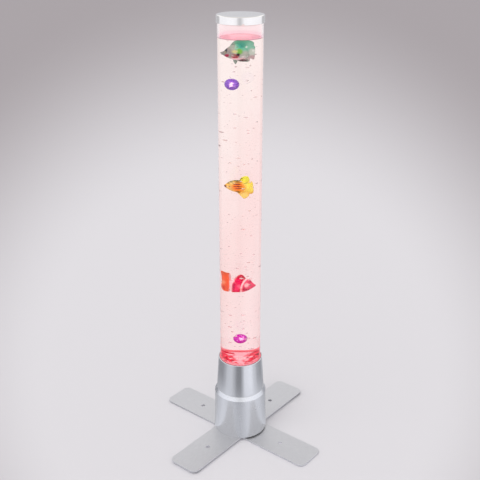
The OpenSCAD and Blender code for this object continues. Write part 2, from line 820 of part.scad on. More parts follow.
module button_board() {
    color("darkgreen") rear(button_z) difference() {
        translate([button_board_x, 0, 0]) rotate([90, 0, 90]) plate(2 * button_screw_y + 6, 9, 1, board_t);
        for (side = [-1, 1]) translate([0, side * button_screw_y, 0])
            outward(button_board_x) bore(m3_shank, board_t);
    }
}

module button_screws() {
    color("dimgray") rear(button_z) for (side = [-1, 1]) translate([0, side * button_screw_y, 0])
        outward(button_board_x - m3_head_t) pan_screw_up(board_t + 4.5);
}

// ---------------------------------------------------------------- air pump

// The pump lies along X, in front of the control board
pump_y = -14;
z_tray = z_plate_top + foot_h;
z_tray_top = z_tray + tray_t;
core_lift = 6.5;
z_core = z_tray_top + core_lift;
z_arm = z_core + core_h / 2;    // height of the arm's middle
foot_r = 5;
foot_nib_r = 2.4;

core_back_x = -tray_l / 2 + 2;
core_l = 18;
core_face_x = core_back_x + core_l;
core_w = 28;
core_back = 5;
leg_w = 5;
middle_leg_w = 6.5;
pivot_boss_r = 4.5;

module foot_places() {
    for (x = [-1, 1], y = [-1, 1])
        translate([x * (tray_l / 2 - 9), pump_y + y * (tray_w / 2 - 6), 0]) children();
}

module pump_feet() {
    color([0.2, 0.2, 0.2]) foot_places() {
        translate([0, 0, z_plate_top]) cylinder(r = foot_r, h = foot_h, $fn = 32);
        translate([0, 0, z_can + 0.5]) cylinder(r = foot_nib_r, h = plate_t, $fn = 32);
        translate([0, 0, z_tray - 0.5]) cylinder(r = foot_nib_r, h = tray_t + 0.5, $fn = 32);
    }
}

module pump_tray() {
    color([0.25, 0.27, 0.3]) difference() {
        union() {
            translate([0, pump_y, z_tray]) plate(tray_l, tray_w, 5, tray_t);
            // two rails lift the core clear of the tray, for its coil
            for (side = [-1, 1])
                translate([core_back_x, pump_y + side * (core_w - leg_w) / 2 - leg_w / 2, z_tray_top - 0.1])
                    cube([core_l, leg_w, core_lift + 0.1]);
            translate([pivot_x, pump_y, z_tray_top - 0.1])
                cylinder(r = pivot_boss_r, h = z_eye - z_tray_top - 0.3, $fn = 48);
            // seat of the air chamber
            translate([outlet_x, chamber_mid_y, z_tray_top - 0.1])
                plate(chamber_w - 4, chamber_t - 1, 1, chamber_z - z_tray_top + 0.1);
        }
        translate([0, 0, z_tray]) foot_places() bore(foot_nib_r + joint_gap, tray_t);
        translate([pivot_x, pump_y, z_tray_top]) cylinder(r = pivot_d / 2 + 0.01, h = eye_h, $fn = 48);
    }
}

// An E of stacked iron, its three legs facing the magnet
module pump_core() {
    leg_l = core_l - core_back + 0.1;
    color([0.45, 0.45, 0.48]) translate([core_back_x, pump_y, z_core]) {
        translate([0, -core_w / 2, 0]) cube([core_back, core_w, core_h]);
        translate([core_l - leg_l, 0, 0]) {
            for (side = [-1, 1]) translate([0, side * (core_w - leg_w) / 2 - leg_w / 2, 0])
                cube([leg_l, leg_w, core_h]);
            translate([0, -middle_leg_w / 2, 0]) cube([leg_l, middle_leg_w, core_h]);
        }
    }
}

coil_gap = 0.4;
coil_w = core_w - 2 * leg_w - 2 * coil_gap;
coil_over = (coil_w - middle_leg_w) / 2 - coil_gap;
coil_top = z_core + core_h + coil_gap + coil_over;

module pump_coil() {
    from = core_back_x + core_back + coil_gap;
    length = core_l - core_back - 2 * coil_gap;
    cheek = 1.2;
    step = 1.6;         // how far the winding lies inside its cheeks
    hole_w = middle_leg_w + 2 * coil_gap;
    hole_h = core_h + 2 * coil_gap;
    coil_h = hole_h + 2 * coil_over;
    color([0.75, 0.4, 0.15]) translate([from, pump_y, z_arm]) rotate([90, 0, 90]) difference() {
        union() {
            plate(coil_w - step, coil_h - step, 1.5, length);
            plate(coil_w, coil_h, 1.5, cheek);
            translate([0, 0, length - cheek]) plate(coil_w, coil_h, 1.5, cheek);
        }
        translate([-hole_w / 2, -hole_h / 2, -through]) cube([hole_w, hole_h, length + 2 * through]);
    }
}

pivot_x = tray_l / 2 - 8;
eye_h = 20;
z_eye = z_arm - eye_h / 2;
magnet_gap = 1.2;
magnet = [5, 14, 12];
magnet_x = core_face_x + magnet_gap;
arm_h = 9;
clip_h = 1;             // ring that keeps the arm on its pin

module pivot_pin() {
    color("lightgray") {
        translate([pivot_x, pump_y, z_tray_top])
            cylinder(r = pivot_d / 2, h = z_eye + eye_h + 3 - z_tray_top, $fn = 48);
        translate([pivot_x, pump_y, z_eye + eye_h + 0.4])
            cylinder(r = pivot_d / 2 + 1.4, h = clip_h, $fn = 48);
    }
}

module pump_arm() {
    holder = [2, 16, 14];
    from = magnet_x + magnet[0];
    color([0.85, 0.85, 0.8]) difference() {
        union() {
            translate([from, pump_y - arm_t / 2, z_arm - arm_h / 2]) cube([pivot_x - from, arm_t, arm_h]);
            translate([from, pump_y - holder[1] / 2, z_arm - holder[2] / 2]) cube(holder);
            translate([pivot_x, pump_y, z_eye]) cylinder(r = 4, h = eye_h, $fn = 48);
            // boss that pushes the diaphragm
            translate([outlet_x, pump_y + arm_t / 2 - 0.1, z_arm]) rotate([-90, 0, 0])
                cylinder(r = 3, h = push_l + 0.1, $fn = 32);
        }
        translate([pivot_x, pump_y, z_eye]) bore(pivot_d / 2 + run_gap, eye_h, 48);
    }
}

module arm_magnet() {
    color([0.3, 0.3, 0.3]) translate([magnet_x, pump_y - magnet[1] / 2, z_arm - magnet[2] / 2]) cube(magnet);
}

outlet_x = 14;
push_l = 1;
diaphragm_h = 6;
chamber_w = diaphragm_d + 3;
chamber_h = diaphragm_d + 4;
chamber_y = pump_y + arm_t / 2 + push_l + diaphragm_h;      // the face that the diaphragm seals
chamber_block_t = 8;
cover_t = 4;
chamber_t = chamber_block_t + cover_t;
chamber_mid_y = chamber_y + chamber_t / 2;
chamber_z = z_arm - chamber_h / 2;
outlet_y = chamber_y + chamber_block_t / 2;
outlet_l = 10;
port_x = 4;             // from the chamber's middle to each valve port
cover_pilot = 0.9;
cover_hole = 1.2;
cover_inset = 3;
z_outlet = chamber_z + chamber_h + outlet_l;

// A rubber cup whose flange seals the chamber and whose crown the arm pushes
module pump_diaphragm() {
    r = diaphragm_d / 2;
    crown_t = 2;
    flange_t = 1.4;
    color([0.15, 0.15, 0.15]) translate([outlet_x, chamber_y, z_arm]) rotate([90, 0, 0])
        rotate_extrude($fn = 48) polygon([[0, diaphragm_h - crown_t], [3, diaphragm_h - crown_t],
            [r - 3.5, 0.8], [r - 2.5, 0], [r, 0], [r, flange_t], [r - 2, flange_t],
            [r - 2.6, flange_t + 0.8], [4, diaphragm_h], [0, diaphragm_h]]);
}

module pump_chamber() {
    color([0.3, 0.33, 0.38]) difference() {
        union() {
            translate([outlet_x, chamber_y + chamber_block_t, z_arm]) rotate([90, 0, 0])
                plate(chamber_w, chamber_h, 3, chamber_block_t);
            translate([outlet_x, outlet_y, chamber_z + chamber_h - 0.1]) barb_profile(0, outlet_l + 0.1);
        }
        // the pumping hollow, the valve ports and the way up to the outlet
        translate([outlet_x, chamber_y - through, z_arm]) rotate([-90, 0, 0])
            cylinder(r = diaphragm_d / 2 - 4, h = through + 2.5, $fn = 48);
        for (x = [-port_x, port_x]) translate([outlet_x + x, chamber_y, z_arm]) rotate([-90, 0, 0])
            cylinder(r = 1.2, h = chamber_block_t + through, $fn = 24);
        translate([outlet_x, outlet_y, z_arm]) cylinder(r = air_bore / 2, h = chamber_h, $fn = 24);
        cover_corners() rotate([-90, 0, 0]) translate([0, 0, 2])
            cylinder(r = cover_pilot, h = chamber_block_t, $fn = 24);
    }
}

module cover_corners() {
    for (x = [-1, 1], z = [-1, 1])
        translate([outlet_x + x * (chamber_w / 2 - cover_inset), chamber_y,
            z_arm + z * (chamber_h / 2 - cover_inset)]) children();
}

module valve_cover() {
    color([0.25, 0.28, 0.32]) difference() {
        translate([outlet_x, chamber_y + chamber_t, z_arm]) rotate([90, 0, 0])
            plate(chamber_w, chamber_h, 3, cover_t);
        cover_corners() rotate([-90, 0, 0]) cylinder(r = cover_hole, h = chamber_t + through, $fn = 24);
        // air way over the valve flaps, and the inlet
        translate([outlet_x - 7, chamber_y + chamber_block_t - through, z_arm - 2.5])
            cube([14, through + 1.5, 5]);
        translate([outlet_x - port_x, chamber_y + chamber_block_t, z_arm]) rotate([-90, 0, 0])
            cylinder(r = 1.5, h = cover_t + through, $fn = 24);
    }
}

module cover_screws() {
    head_r = 1.9;
    head_t = 1.2;
    screw_l = 8.5;
    shank_r = cover_pilot - joint_gap;
    color("gray") cover_corners() translate([0, chamber_t + head_t, 0]) rotate([90, 0, 0])
        rotate_extrude($fn = 24) polygon([[0, 0], [head_r, 0], [head_r, head_t], [shank_r, head_t],
            [shank_r, screw_l], [0, screw_l]]);
}

// ---------------------------------------------------------------- leads

lead_r = 1.1;
power_lead_r = 1.5;
light_lead_r = 1.3;

module lead(a, u, b, v, r = lead_r) {
    color([0.7, 0.1, 0.1]) sweep(curve(a, u, b, v, 16), u, v, r, 8);
}

// A point of the rear frame in the lamp's own frame
function rear_point(x, y, z) = [x * cos(rear_turn) - y * sin(rear_turn),
    x * sin(rear_turn) + y * cos(rear_turn), z_can + z];

module power_lead() {
    from = rear_point(panel_x - jack_body_l - jack_tag[0] - 0.1, 0, jack_z);
    to = [-22, control_y + 1.6, z_control - plug_h];
    lead(from, rear_point(-16, 0, -z_can), to, [0, 0, 30], power_lead_r);
}

module coil_lead() {
    from = [core_back_x + core_l / 2, pump_y, coil_top];
    to = [-14.2, control_y - 10, z_control - plug_h];
    lead(from, [0, 0, 18], to, [0, 0, 18]);
}

module button_lead() {
    from = rear_point(button_board_x, 0, button_z - 3);
    to = [-22, control_y - 3.2, z_control - plug_h];
    lead(from, rear_point(-9, 0, -z_can), to, [0, 0, 16]);
}

module light_lead() {
    from = [7, control_y - 12, z_control_top];
    middle = [8, 5, z_deck];
    to = [18, 6, z_light_board];
    up = [0, 0, 1];
    second = curve(middle, 20 * up, to, 20 * up, 14);
    color([0.7, 0.1, 0.1]) sweep(concat(curve(from, 5 * up, middle, 8 * up, 10),
        [for (i = [1:14]) second[i]]), up, up, light_lead_r, 8);
}

// ---------------------------------------------------------------- floats

// Puts a float at its level, with X along the fish's heading
module float_place(level) {
    translate([0, 0, level]) rotate([0, 0, fish_turn]) children();
}

// Point at f, from 0 to 1, between b and c on a smooth curve through a, b, c and d
function glide(a, b, c, d, f) = (2 * b + (c - a) * f + (2 * a - 5 * b + 4 * c - d) * f * f
    + (3 * b - a - 3 * c + d) * f * f * f) / 2;

// A smooth open line through the points p, with n steps from each to the next
function glide_open(p, n) = let (last = len(p) - 1) [for (i = [0:n * last]) let (
    k = min(floor(i / n), last - 1))
    glide(p[max(k - 1, 0)], p[k], p[k + 1], p[min(k + 2, last)], i / n - k)];

// A smooth closed line through the points p
function glide_closed(p, n) = let (m = len(p)) [for (i = [0:n * m - 1]) let (k = floor(i / n))
    glide(p[(k + m - 1) % m], p[k], p[(k + 1) % m], p[(k + 2) % m], i / n - k)];

// Body of a fish that faces -X with its snout at the origin, lofted through stations of
// [distance from the snout, top, bottom, half thickness]
module fish_body(stations, sides = 18) {
    rings = glide_open(stations, 2);
    n = len(rings) * sides;
    skin = [for (r = rings) for (k = [0:sides - 1]) let (a = 360 * k / sides)
        [r[0], r[3] * cos(a), (r[1] + r[2]) / 2 + (r[1] - r[2]) / 2 * sin(a)]];
    ends = [for (r = [rings[0], rings[len(rings) - 1]]) [r[0], 0, (r[1] + r[2]) / 2]];
    walls = [for (i = [0:len(rings) - 2]) for (k = [0:sides - 1]) each let (
        a = i * sides + k, b = i * sides + (k + 1) % sides) [[a, a + sides, b], [b, a + sides, b + sides]]];
    front = [for (k = [0:sides - 1]) [n, k, (k + 1) % sides]];
    back = [for (k = [0:sides - 1]) [n + 1, n - sides + (k + 1) % sides, n - sides + k]];
    polyhedron(concat(skin, ends), concat(walls, front, back));
}

// A flat fin in the XZ plane
module fin(points, t = 1.6) {
    rotate([90, 0, 0]) translate([0, 0, -t / 2]) linear_extrude(t) polygon(points);
}

// A side fin l long and h high that leans back
function side_outline(l, h) = [for (i = [0:10]) let (t = i / 10)
    [l * (t - 0.5) + l * 0.2 * sin(180 * t), i == 0 || i == 10 ? -2 : h * pow(sin(180 * t), 0.6)]];

// A fish that faces -X with its snout at the origin. Its fins in the middle plane are outlines of
// [distance from the snout, height], and its side fins stand at side = [distance, out, height].
module fish(stations, fins, side) {
    fish_body(stations);
    for (f = fins) fin(glide_closed(f, 3));
    for (s = [-1, 1]) translate([side[0], s * side[1], side[2]])
        rotate([s * 14, 0, 0]) fin(side_outline(9, 6), 1.2);
}

// Its snout droops, its back fin is as long as its body, and its tail is cut off square
module fish_green() {
    color([0.25, 0.55, 0.45]) float_place(z_tube_top - green_fish_drop) translate([-30.4, 0, 0]) fish(
        [[0, 0.7, -0.7, 0.7], [6, 3.8, -5.2, 3.4], [11, 9.6, -8.4, 5.6], [18, 15.4, -11.6, 7.2],
            [26, 16.8, -12.8, 7.2], [34, 11.5, -10, 4.8], [41, 4.5, -5, 2]],
        [[[13, 9], [17.5, 18], [24, 24.2], [35, 24.8], [45.5, 23.4], [50.4, 18], [47, 9], [39, 2], [26, 8]],
            [[37, 3], [44, 12], [51, 14], [52, 5], [51.6, -5.5], [50, -12], [44, -9], [37, -4]],
            [[24, -8], [28, -15], [36, -16.2], [43, -15.6], [44.5, -10], [39, -2], [30, -6]],
            [[19, -9], [21, -17], [23.4, -20.6], [25.4, -17], [27, -10]]],
        [20, 6.2, -4]);
}

// Its back fin is short and high, and its belly fin hangs lowest
module fish_orange() {
    color([0.95, 0.5, 0.15]) float_place(z_plug + orange_fish_z) translate([-25.5, 0, 0]) fish(
        [[0, 0.6, -0.6, 0.6], [4, 5.4, -4.4, 3], [9, 10.2, -8.2, 5.4], [16, 13.2, -11.4, 7],
            [24, 13.2, -12.8, 7.2], [31, 10.4, -11, 5], [38, 5.5, -6, 2.2]],
        [[[23, 9], [26, 17.6], [30.5, 21.4], [36.6, 21.5], [39.6, 14], [38, 4], [29, 6]],
            [[34, 3], [39, 10], [44, 9], [45.4, -3], [45.6, -13.5], [41, -17], [35, -5]],
            [[18, -8], [24, -17.5], [31, -26.6], [37.5, -22.4], [41, -13], [37, -3], [26, -7]]],
        [20, 6.4, -8]);
}

// This one faces the other way, with a flat belly and a square tail
module fish_banded() {
    color([0.9, 0.25, 0.25]) float_place(z_plug + banded_fish_z) translate([24.9, 0, 0])
    rotate([0, 0, 180]) fish(
        [[0, 0.7, -0.7, 0.7], [5, 7, -4.4, 4.2], [9, 14, -7.4, 6], [16, 17.6, -11.4, 7.6],
            [23, 20.4, -13.4, 8], [31, 18.4, -13.2, 6.6], [38, 14, -10.4, 3.8], [43, 12, -6, 2]],
        [[[14, 12], [17.6, 21.5], [22, 28], [26.4, 28], [33, 21], [37, 12], [26, 10]],
            [[39, 8], [40.8, 29.4], [48.5, 32], [57.8, 33.4], [56.4, 20], [55.8, 9], [57.6, -1],
                [55.2, -10], [48.5, -13.5], [42, -12.4], [39, -2]],
            [[22, -10], [29, -13.8], [38.6, -13.6], [37, -7]]],
        [20, 6.8, -5]);
}

purple_ball_u = -12.7;    // how far the purple ball lies to the tube's side

module ball_purple() {
    color([0.7, 0.5, 0.85]) float_place(z_tube_top - purple_ball_drop) translate([purple_ball_u, 0, 0])
        sphere(r = ball_d / 2);
}

module ball_pink() {
    color([0.9, 0.35, 0.6]) float_place(z_plug + pink_ball_z) sphere(r = ball_d / 2);
}

top_cap();
tube();
tube_plug();
plug_seals();
air_nozzle();
nozzle_washer();
nozzle_nut();
collar();
collar_screws();
tube_cushion();
base_can();
base_plate();
plate_screws();
upper_bar();
lower_bar();
upper_bar_pads();
lower_bar_pads();
bar_screws();
bar_nuts();
light_board();
lights();
light_posts();
light_screws();
check_valve();
upper_hose();
lower_hose();
control_board();
board_parts();
control_posts();
control_screws();
power_socket();
socket_nut();
colour_button();
button_plunger();
button_switch();
button_board();
button_screws();
pump_tray();
pump_feet();
pump_core();
pump_coil();
pivot_pin();
pump_arm();
arm_magnet();
pump_diaphragm();
pump_chamber();
valve_cover();
cover_screws();
power_lead();
coil_lead();
light_lead();
button_lead();
fish_green();
fish_orange();
fish_banded();
ball_purple();
ball_pink();
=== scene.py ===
"""Looks of a bubble tube floor lamp: a clear tube of lit water, toy fish and balls, a silver foot on bars.

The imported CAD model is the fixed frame. Every new surface is worked out here as whole arrays, in metres,
in the same frame, and stands for the CAD node that it replaces.
"""
import math

import bmesh
import bpy
import numpy as np
from bpy.props import FloatProperty, FloatVectorProperty, IntProperty, PointerProperty
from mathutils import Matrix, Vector
from mathutils.geometry import delaunay_2d_cdt


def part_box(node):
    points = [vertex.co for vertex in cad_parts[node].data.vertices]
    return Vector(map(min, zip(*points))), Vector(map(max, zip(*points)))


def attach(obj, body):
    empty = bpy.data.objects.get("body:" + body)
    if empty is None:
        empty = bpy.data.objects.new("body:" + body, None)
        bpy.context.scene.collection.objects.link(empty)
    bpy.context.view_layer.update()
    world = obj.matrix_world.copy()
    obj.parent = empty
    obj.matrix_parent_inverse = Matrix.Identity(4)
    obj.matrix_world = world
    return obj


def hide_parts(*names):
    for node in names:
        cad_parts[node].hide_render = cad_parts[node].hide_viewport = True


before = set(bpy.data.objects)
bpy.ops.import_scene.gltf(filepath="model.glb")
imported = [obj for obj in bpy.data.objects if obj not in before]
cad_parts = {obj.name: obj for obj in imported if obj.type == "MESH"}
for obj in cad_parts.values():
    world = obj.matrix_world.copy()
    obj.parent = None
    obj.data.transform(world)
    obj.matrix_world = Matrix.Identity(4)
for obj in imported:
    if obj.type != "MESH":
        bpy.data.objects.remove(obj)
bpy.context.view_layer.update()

bl_info = {
    "name": "Bubble tube floor lamp",
    "version": (1, 0, 0),
    "blender": (4, 5, 0),
    "location": "3D View > Sidebar > Lamp",
    "description": "Builds the looks of a bubble tube floor lamp round its packed CAD model",
    "category": "Object",
}

MM = 0.001
WELD = 0.002 * MM
TURN = 2 * math.pi

# The camera: its heading from the lamp, counterclockwise from +X, how far it looks down and to the side,
# its place and its lens, and how many surfaces its light may pass
CAMERA_HEADING = math.radians(38.886 - 90)
CAMERA_PITCH = math.radians(22.87)
CAMERA_SIDE = 0.00046
CAMERA_PLACE = (0.9735, -1.2071, 1.1317)
CAMERA_LENS = 58.97
BOUNCES = 24

# Levels, radii, headings and sizes that the new surfaces share with the CAD model
TUBE_LOW, TUBE_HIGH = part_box("tube")
TUBE_R = TUBE_HIGH.x
TUBE_IN_R = TUBE_R - 4 * MM
PLUG_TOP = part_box("tube_plug")[1].z
RIM_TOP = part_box("collar")[1].z
RIM_R, BORE_R = 49.25 * MM, 45.35 * MM
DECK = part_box("base_can")[1].z
CAP_LOW, CAP_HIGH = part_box("top_cap")
REAR, FISH_TURN = math.radians(135), math.radians(39)
BAR_LENGTH, BAR_WIDTH, BAR_CORNER = 408 * MM, 75 * MM, 14 * MM
FLOOR_HOLE_R, FLOOR_HOLE_OFF = 4.5 * MM, 117 * MM
SCREW_HOLE_R, SCREW_HOLE_OFF = 2.75 * MM, 23 * MM

# Millimetres along a fish that one unit of its pattern coordinates covers, its fins' thickness, and the
# strength of the painted glow that stands in for the lamp's light on the paint and the coloured plastic in
# the lit water
UV_SPAN = 100
FIN_THICK = 0.9 * MM
PAINTED_LAMP_GLOW = 0.45

# How strongly light bends on its way into the acrylic, the water and, from water, into air
ACRYLIC_BEND, WATER_BEND, AIR_BEND = 1.49, 1.333, 0.75

# Soft bands that metal shows: heading in degrees from the camera's, and brightness
NEAR_BANDS = ((-180, 0.52), (-139, 0.46), (-120, 0.56), (-94, 0.70), (-70, 0.84), (-30, 0.78), (-12, 0.62),
              (2, 0.60), (12, 0.68), (28, 0.82), (58, 0.86), (80, 0.78), (104, 0.62), (120, 0.54),
              (140, 0.42), (180, 0.52))
MIDDLE_BANDS = ((-180, 0.62), (-150, 0.50), (-128, 0.34), (-95, 0.36), (-79, 0.48), (-62, 0.70), (-42, 0.74),
                (-30, 0.56), (-14, 0.30), (1, 0.29), (10, 0.52), (20, 0.92), (50, 1.00), (72, 0.72),
                (92, 0.46), (118, 0.38), (144, 0.58), (180, 0.62))
WIDE_BANDS = ((-180, 0.62), (-121, 0.54), (-110, 1.02), (-40, 1.10), (-20, 1.02), (-10, 0.70), (-1, 0.58),
              (8, 0.80), (18, 1.06), (40, 1.12), (112, 1.04), (126, 0.54), (180, 0.62))

# The edge of the pool of light painted on the floor, and the distances over which the floor's bands change
# from near to middle to wide
POOL_EDGE, NEAR_RING, FAR_RING = (0.225, 0.464), (0.2, 0.34), (0.7, 1.6)


# ----- settings

COLOUR = {"size": 3, "min": 0, "max": 1, "subtype": "COLOR"}


class LampTubeSettings(bpy.types.PropertyGroup):
    """The clear tube and the water in it"""

    water_level: FloatProperty(
        name="Water level", description="Height of the water's surface above the floor",
        default=0.9025, min=0.6, max=0.925, unit="LENGTH")
    # the water's three tints are the lamp's red light painted into clear water
    water_glow_low: FloatVectorProperty(
        name="Water", description="Tint of the lit water low in the tube",
        default=(0.99, 0.762, 0.765), **COLOUR)
    water_glow_middle: FloatVectorProperty(
        name="Water half way up", description="Tint of the lit water half way up the tube",
        default=(0.99, 0.748, 0.736), **COLOUR)
    water_glow_top: FloatVectorProperty(
        name="Water at the top", description="Tint of the lit water high in the tube",
        default=(0.995, 0.893, 0.862), **COLOUR)
    surface_light_tint: FloatVectorProperty(
        name="Surface", description="Tint of the water's surface, where the light gathers",
        default=(1.0, 0.56, 0.62), **COLOUR)
    wall_light_band: FloatVectorProperty(
        name="Wall band", description="Tint of the tube's wall just over the water",
        default=(1.0, 0.75, 0.81), **COLOUR)
    glow_colour: FloatVectorProperty(
        name="Glow", description="Colour of the lit plug at the tube's foot",
        default=(0.86, 0.002, 0.045), **COLOUR)
    bubble_count: IntProperty(
        name="Bubbles", description="Number of large bubbles", default=120, min=0, max=400)
    fizz_count: IntProperty(
        name="Fizz", description="Number of fine bubbles", default=260, min=0, max=2000)
    bubble_size: FloatProperty(
        name="Bubble size", description="Middle radius of a large bubble",
        default=0.0022, min=0.0005, max=0.005, unit="LENGTH")


class LampMetalSettings(bpy.types.PropertyGroup):
    """The silver foot, bars and cap"""

    silver: FloatVectorProperty(
        name="Silver", description="Colour of the silver collar and can",
        default=(0.74, 0.75, 0.77), **COLOUR)
    bar_silver: FloatVectorProperty(
        name="Bars", description="Colour of the steel bars",
        default=(0.66, 0.657, 0.676), **COLOUR)
    cap_silver: FloatVectorProperty(
        name="Cap", description="Colour of the cap",
        default=(0.93, 0.905, 0.875), **COLOUR)
    edge_round: FloatProperty(
        name="Edge rounding", description="Radius of the bars' edges",
        default=0.0005, min=0.0001, max=0.001, unit="LENGTH")


class LampStageSettings(bpy.types.PropertyGroup):
    """Floor and light"""

    # the floor's two colours paint a pool of light round the lamp and the darker shade beyond it
    painted_pool_floor: FloatVectorProperty(
        name="Floor near", description="Colour of the floor round the lamp",
        default=(0.742, 0.721, 0.750), **COLOUR)
    painted_dim_floor: FloatVectorProperty(
        name="Floor far", description="Colour of the floor far behind the lamp",
        default=(0.400, 0.367, 0.384), **COLOUR)
    sky_light: FloatProperty(
        name="Soft light", description="Strength of the even light from all round",
        default=0.66, min=0, max=2)
    sun_light: FloatProperty(
        name="Lamp light", description="Strength of the one soft lamp",
        default=1.3, min=0, max=5)


SETTINGS = (LampTubeSettings, LampMetalSettings, LampStageSettings)


# ----- surfaces from arrays


def grid_quads(rows, cols, wrap_rows=False, wrap_cols=True):
    """Quads of a grid of rows by cols points: each joins a point, its neighbour along the row, and the
    same two of the next row. A grid may close on itself either way."""
    r = np.arange(rows if wrap_rows else rows - 1)
    c = np.arange(cols if wrap_cols else cols - 1)
    i, j = np.meshgrid(r, c, indexing="ij")
    i1, j1 = (i + 1) % rows, (j + 1) % cols
    return np.stack([i * cols + j, i * cols + j1, i1 * cols + j1, i1 * cols + j], -1).reshape(-1, 4)


def add_uv(mesh, name, uv):
    """Gives each point of a mesh its own pattern coordinates."""
    points = np.zeros(len(mesh.loops), np.int32)
    mesh.loops.foreach_get("vertex_index", points)
    uv = np.asarray(uv, np.float32).reshape(-1, 2)[points]
    mesh.uv_layers.new(name=name).data.foreach_set("uv", uv.ravel())


def mesh_piece(name, points, faces, uv=None, weld=True):
    """A smooth-shaded mesh object from an array of points and an array of faces. uv gives each point its
    own pattern coordinates. Poles and seams are welded."""
    mesh = bpy.data.meshes.new(name)
    points = np.asarray(points, float).reshape(-1, 3)
    mesh.from_pydata(points.tolist(), [], faces if isinstance(faces, list) else faces.tolist())
    if uv is not None:
        add_uv(mesh, "UVMap", uv)
    if weld:
        b = bmesh.new()
        b.from_mesh(mesh)
        bmesh.ops.remove_doubles(b, verts=b.verts, dist=WELD)
        bmesh.ops.dissolve_degenerate(b, edges=b.edges, dist=WELD / 20)
        b.to_mesh(mesh)
        b.free()
    mesh.polygons.foreach_set("use_smooth", np.ones(len(mesh.polygons), bool))
    piece = bpy.data.objects.new(name, mesh)
    bpy.context.scene.collection.objects.link(piece)
    return piece


def rounded(corners, radii, steps=5):
    """A closed profile whose corners are arcs: each corner gives way to the arc of its radius that
    touches both its sides, and every arc's ends are doubled a little along the sides, so that the flat
    stretches between them shade flat."""
    p = np.asarray(corners, float)
    r = np.asarray(radii, float)
    to_last, to_next = np.roll(p, 1, 0) - p, np.roll(p, -1, 0) - p
    a = to_last / np.linalg.norm(to_last, axis=1)[:, None]
    b = to_next / np.linalg.norm(to_next, axis=1)[:, None]
    half = np.arccos(np.clip((a * b).sum(1), -1, 1)) / 2
    reach = r / np.tan(half)
    middle = p + (a + b) / np.linalg.norm(a + b, axis=1)[:, None] * (r / np.sin(half))[:, None]
    start, stop = p + a * reach[:, None] - middle, p + b * reach[:, None] - middle
    a0, a1 = np.arctan2(start[:, 1], start[:, 0]), np.arctan2(stop[:, 1], stop[:, 0])
    sweep = (a1 - a0 + math.pi) % TURN - math.pi
    t = np.linspace(0, 1, steps + 1)
    angle = a0[:, None] + sweep[:, None] * t
    arcs = middle[:, None] + r[:, None, None] * np.stack([np.cos(angle), np.sin(angle)], -1)
    lead = 0.25 * r[:, None] + 0.02 * MM
    ends = (arcs[:, 0] + a * lead)[:, None], (arcs[:, -1] + b * lead)[:, None]
    return np.concatenate([ends[0], arcs, ends[1]], 1).reshape(-1, 2)


def revolved(name, profile, turns=192, closed=True, raise_edge=None):
    """A profile of (radius, height) turned about Z: each point of it becomes a circle. Its points run
    counterclockwise with the radius to the right, so that the faces look outwards. raise_edge gives each
    point's height from its radius, height and angle."""
    profile = np.asarray(profile, float)
    angle = np.linspace(0, TURN, turns, endpoint=False)
    r, a = np.meshgrid(profile[:, 0], angle, indexing="ij")
    z = np.repeat(profile[:, 1:2], turns, 1)
    if raise_edge is not None:
        z = raise_edge(r, z, a)
    points = np.stack([r * np.cos(a), r * np.sin(a), z], -1)
    return mesh_piece(name, points, grid_quads(len(profile), turns, wrap_rows=closed))


def glide(points, steps):
    """A smooth line through points: between two neighbours b and c, with a and d beyond them, it is half
    of 2b + (c - a)f + (2a - 5b + 4c - d)f^2 + (3b - a - 3c + d)f^3, where f runs from 0 to 1."""
    p = np.asarray(points, float)
    last = len(p) - 1
    a, b, c, d = (p[np.clip(np.arange(last) + j, 0, last)][:, None] for j in (-1, 0, 1, 2))
    f = (np.arange(steps) / steps)[None, :, None]
    line = (2 * b + (c - a) * f + (2 * a - 5 * b + 4 * c - d) * f ** 2 + (3 * b - a - 3 * c + d) * f ** 3) / 2
    return np.concatenate([line.reshape(-1, p.shape[1]), p[-1:]])


def plate(name, outlines, low, high, edge):
    """A flat plate with round edges. Its rim profile, two quarter circles joined by a straight, is
    carried along each closed outline and stands in from it to the left; the outer outline runs
    counterclockwise and holes run clockwise. The flats are filled between the profile's ends."""
    t = np.linspace(0, math.pi / 2, 5)
    arc_in, arc_up = edge * (1 - np.sin(t)), edge * (1 - np.cos(t))
    inset = np.concatenate([[edge * 1.6], arc_in, arc_in[::-1], [edge * 1.6]])
    z = np.concatenate([[low], low + arc_up, high - arc_up[::-1], [high]])
    points, faces, flats, count = [], [], [], 0
    for line in outlines:
        along = np.roll(line, -1, 0) - np.roll(line, 1, 0)
        left = np.stack([-along[:, 1], along[:, 0]], -1) / np.linalg.norm(along, axis=1)[:, None]
        flat = line[None] + left[None] * inset[:, None, None]
        points.append(np.dstack([flat, np.repeat(z[:, None], len(line), 1)]).reshape(-1, 3))
        faces += (grid_quads(len(z), len(line)) + count).tolist()
        flats.append((flat[0], count, count + (len(z) - 1) * len(line)))
        count += len(z) * len(line)
    corners = [Vector(p) for line, _, _ in flats for p in line]
    bottom = np.concatenate([np.arange(len(line)) + first for line, first, _ in flats])
    top = np.concatenate([np.arange(len(line)) + last for line, _, last in flats])
    starts = np.cumsum([0] + [len(line) for line, _, _ in flats])
    edges = [(int(a + k), int(a + (k + 1) % (b - a)))
             for a, b in zip(starts, starts[1:]) for k in range(b - a)]
    filled = delaunay_2d_cdt(corners, edges, [], 1, 1e-9)
    own = np.array([[filled[3][v][0] for v in face] for face in filled[2]])
    ring = np.searchsorted(starts, own, "right")
    own = own[~((ring > 1).all(1) & (ring == ring[:, :1]).all(1))]
    faces += top[own].tolist() + bottom[own[:, ::-1]].tolist()
    return mesh_piece(name, np.concatenate(points), faces)


def circle_line(x, y, r, sides=64):
    """Points evenly round a circle."""
    a = np.linspace(0, TURN, sides, endpoint=False)
    return np.stack([x + r * np.cos(a), y + r * np.sin(a)], -1)


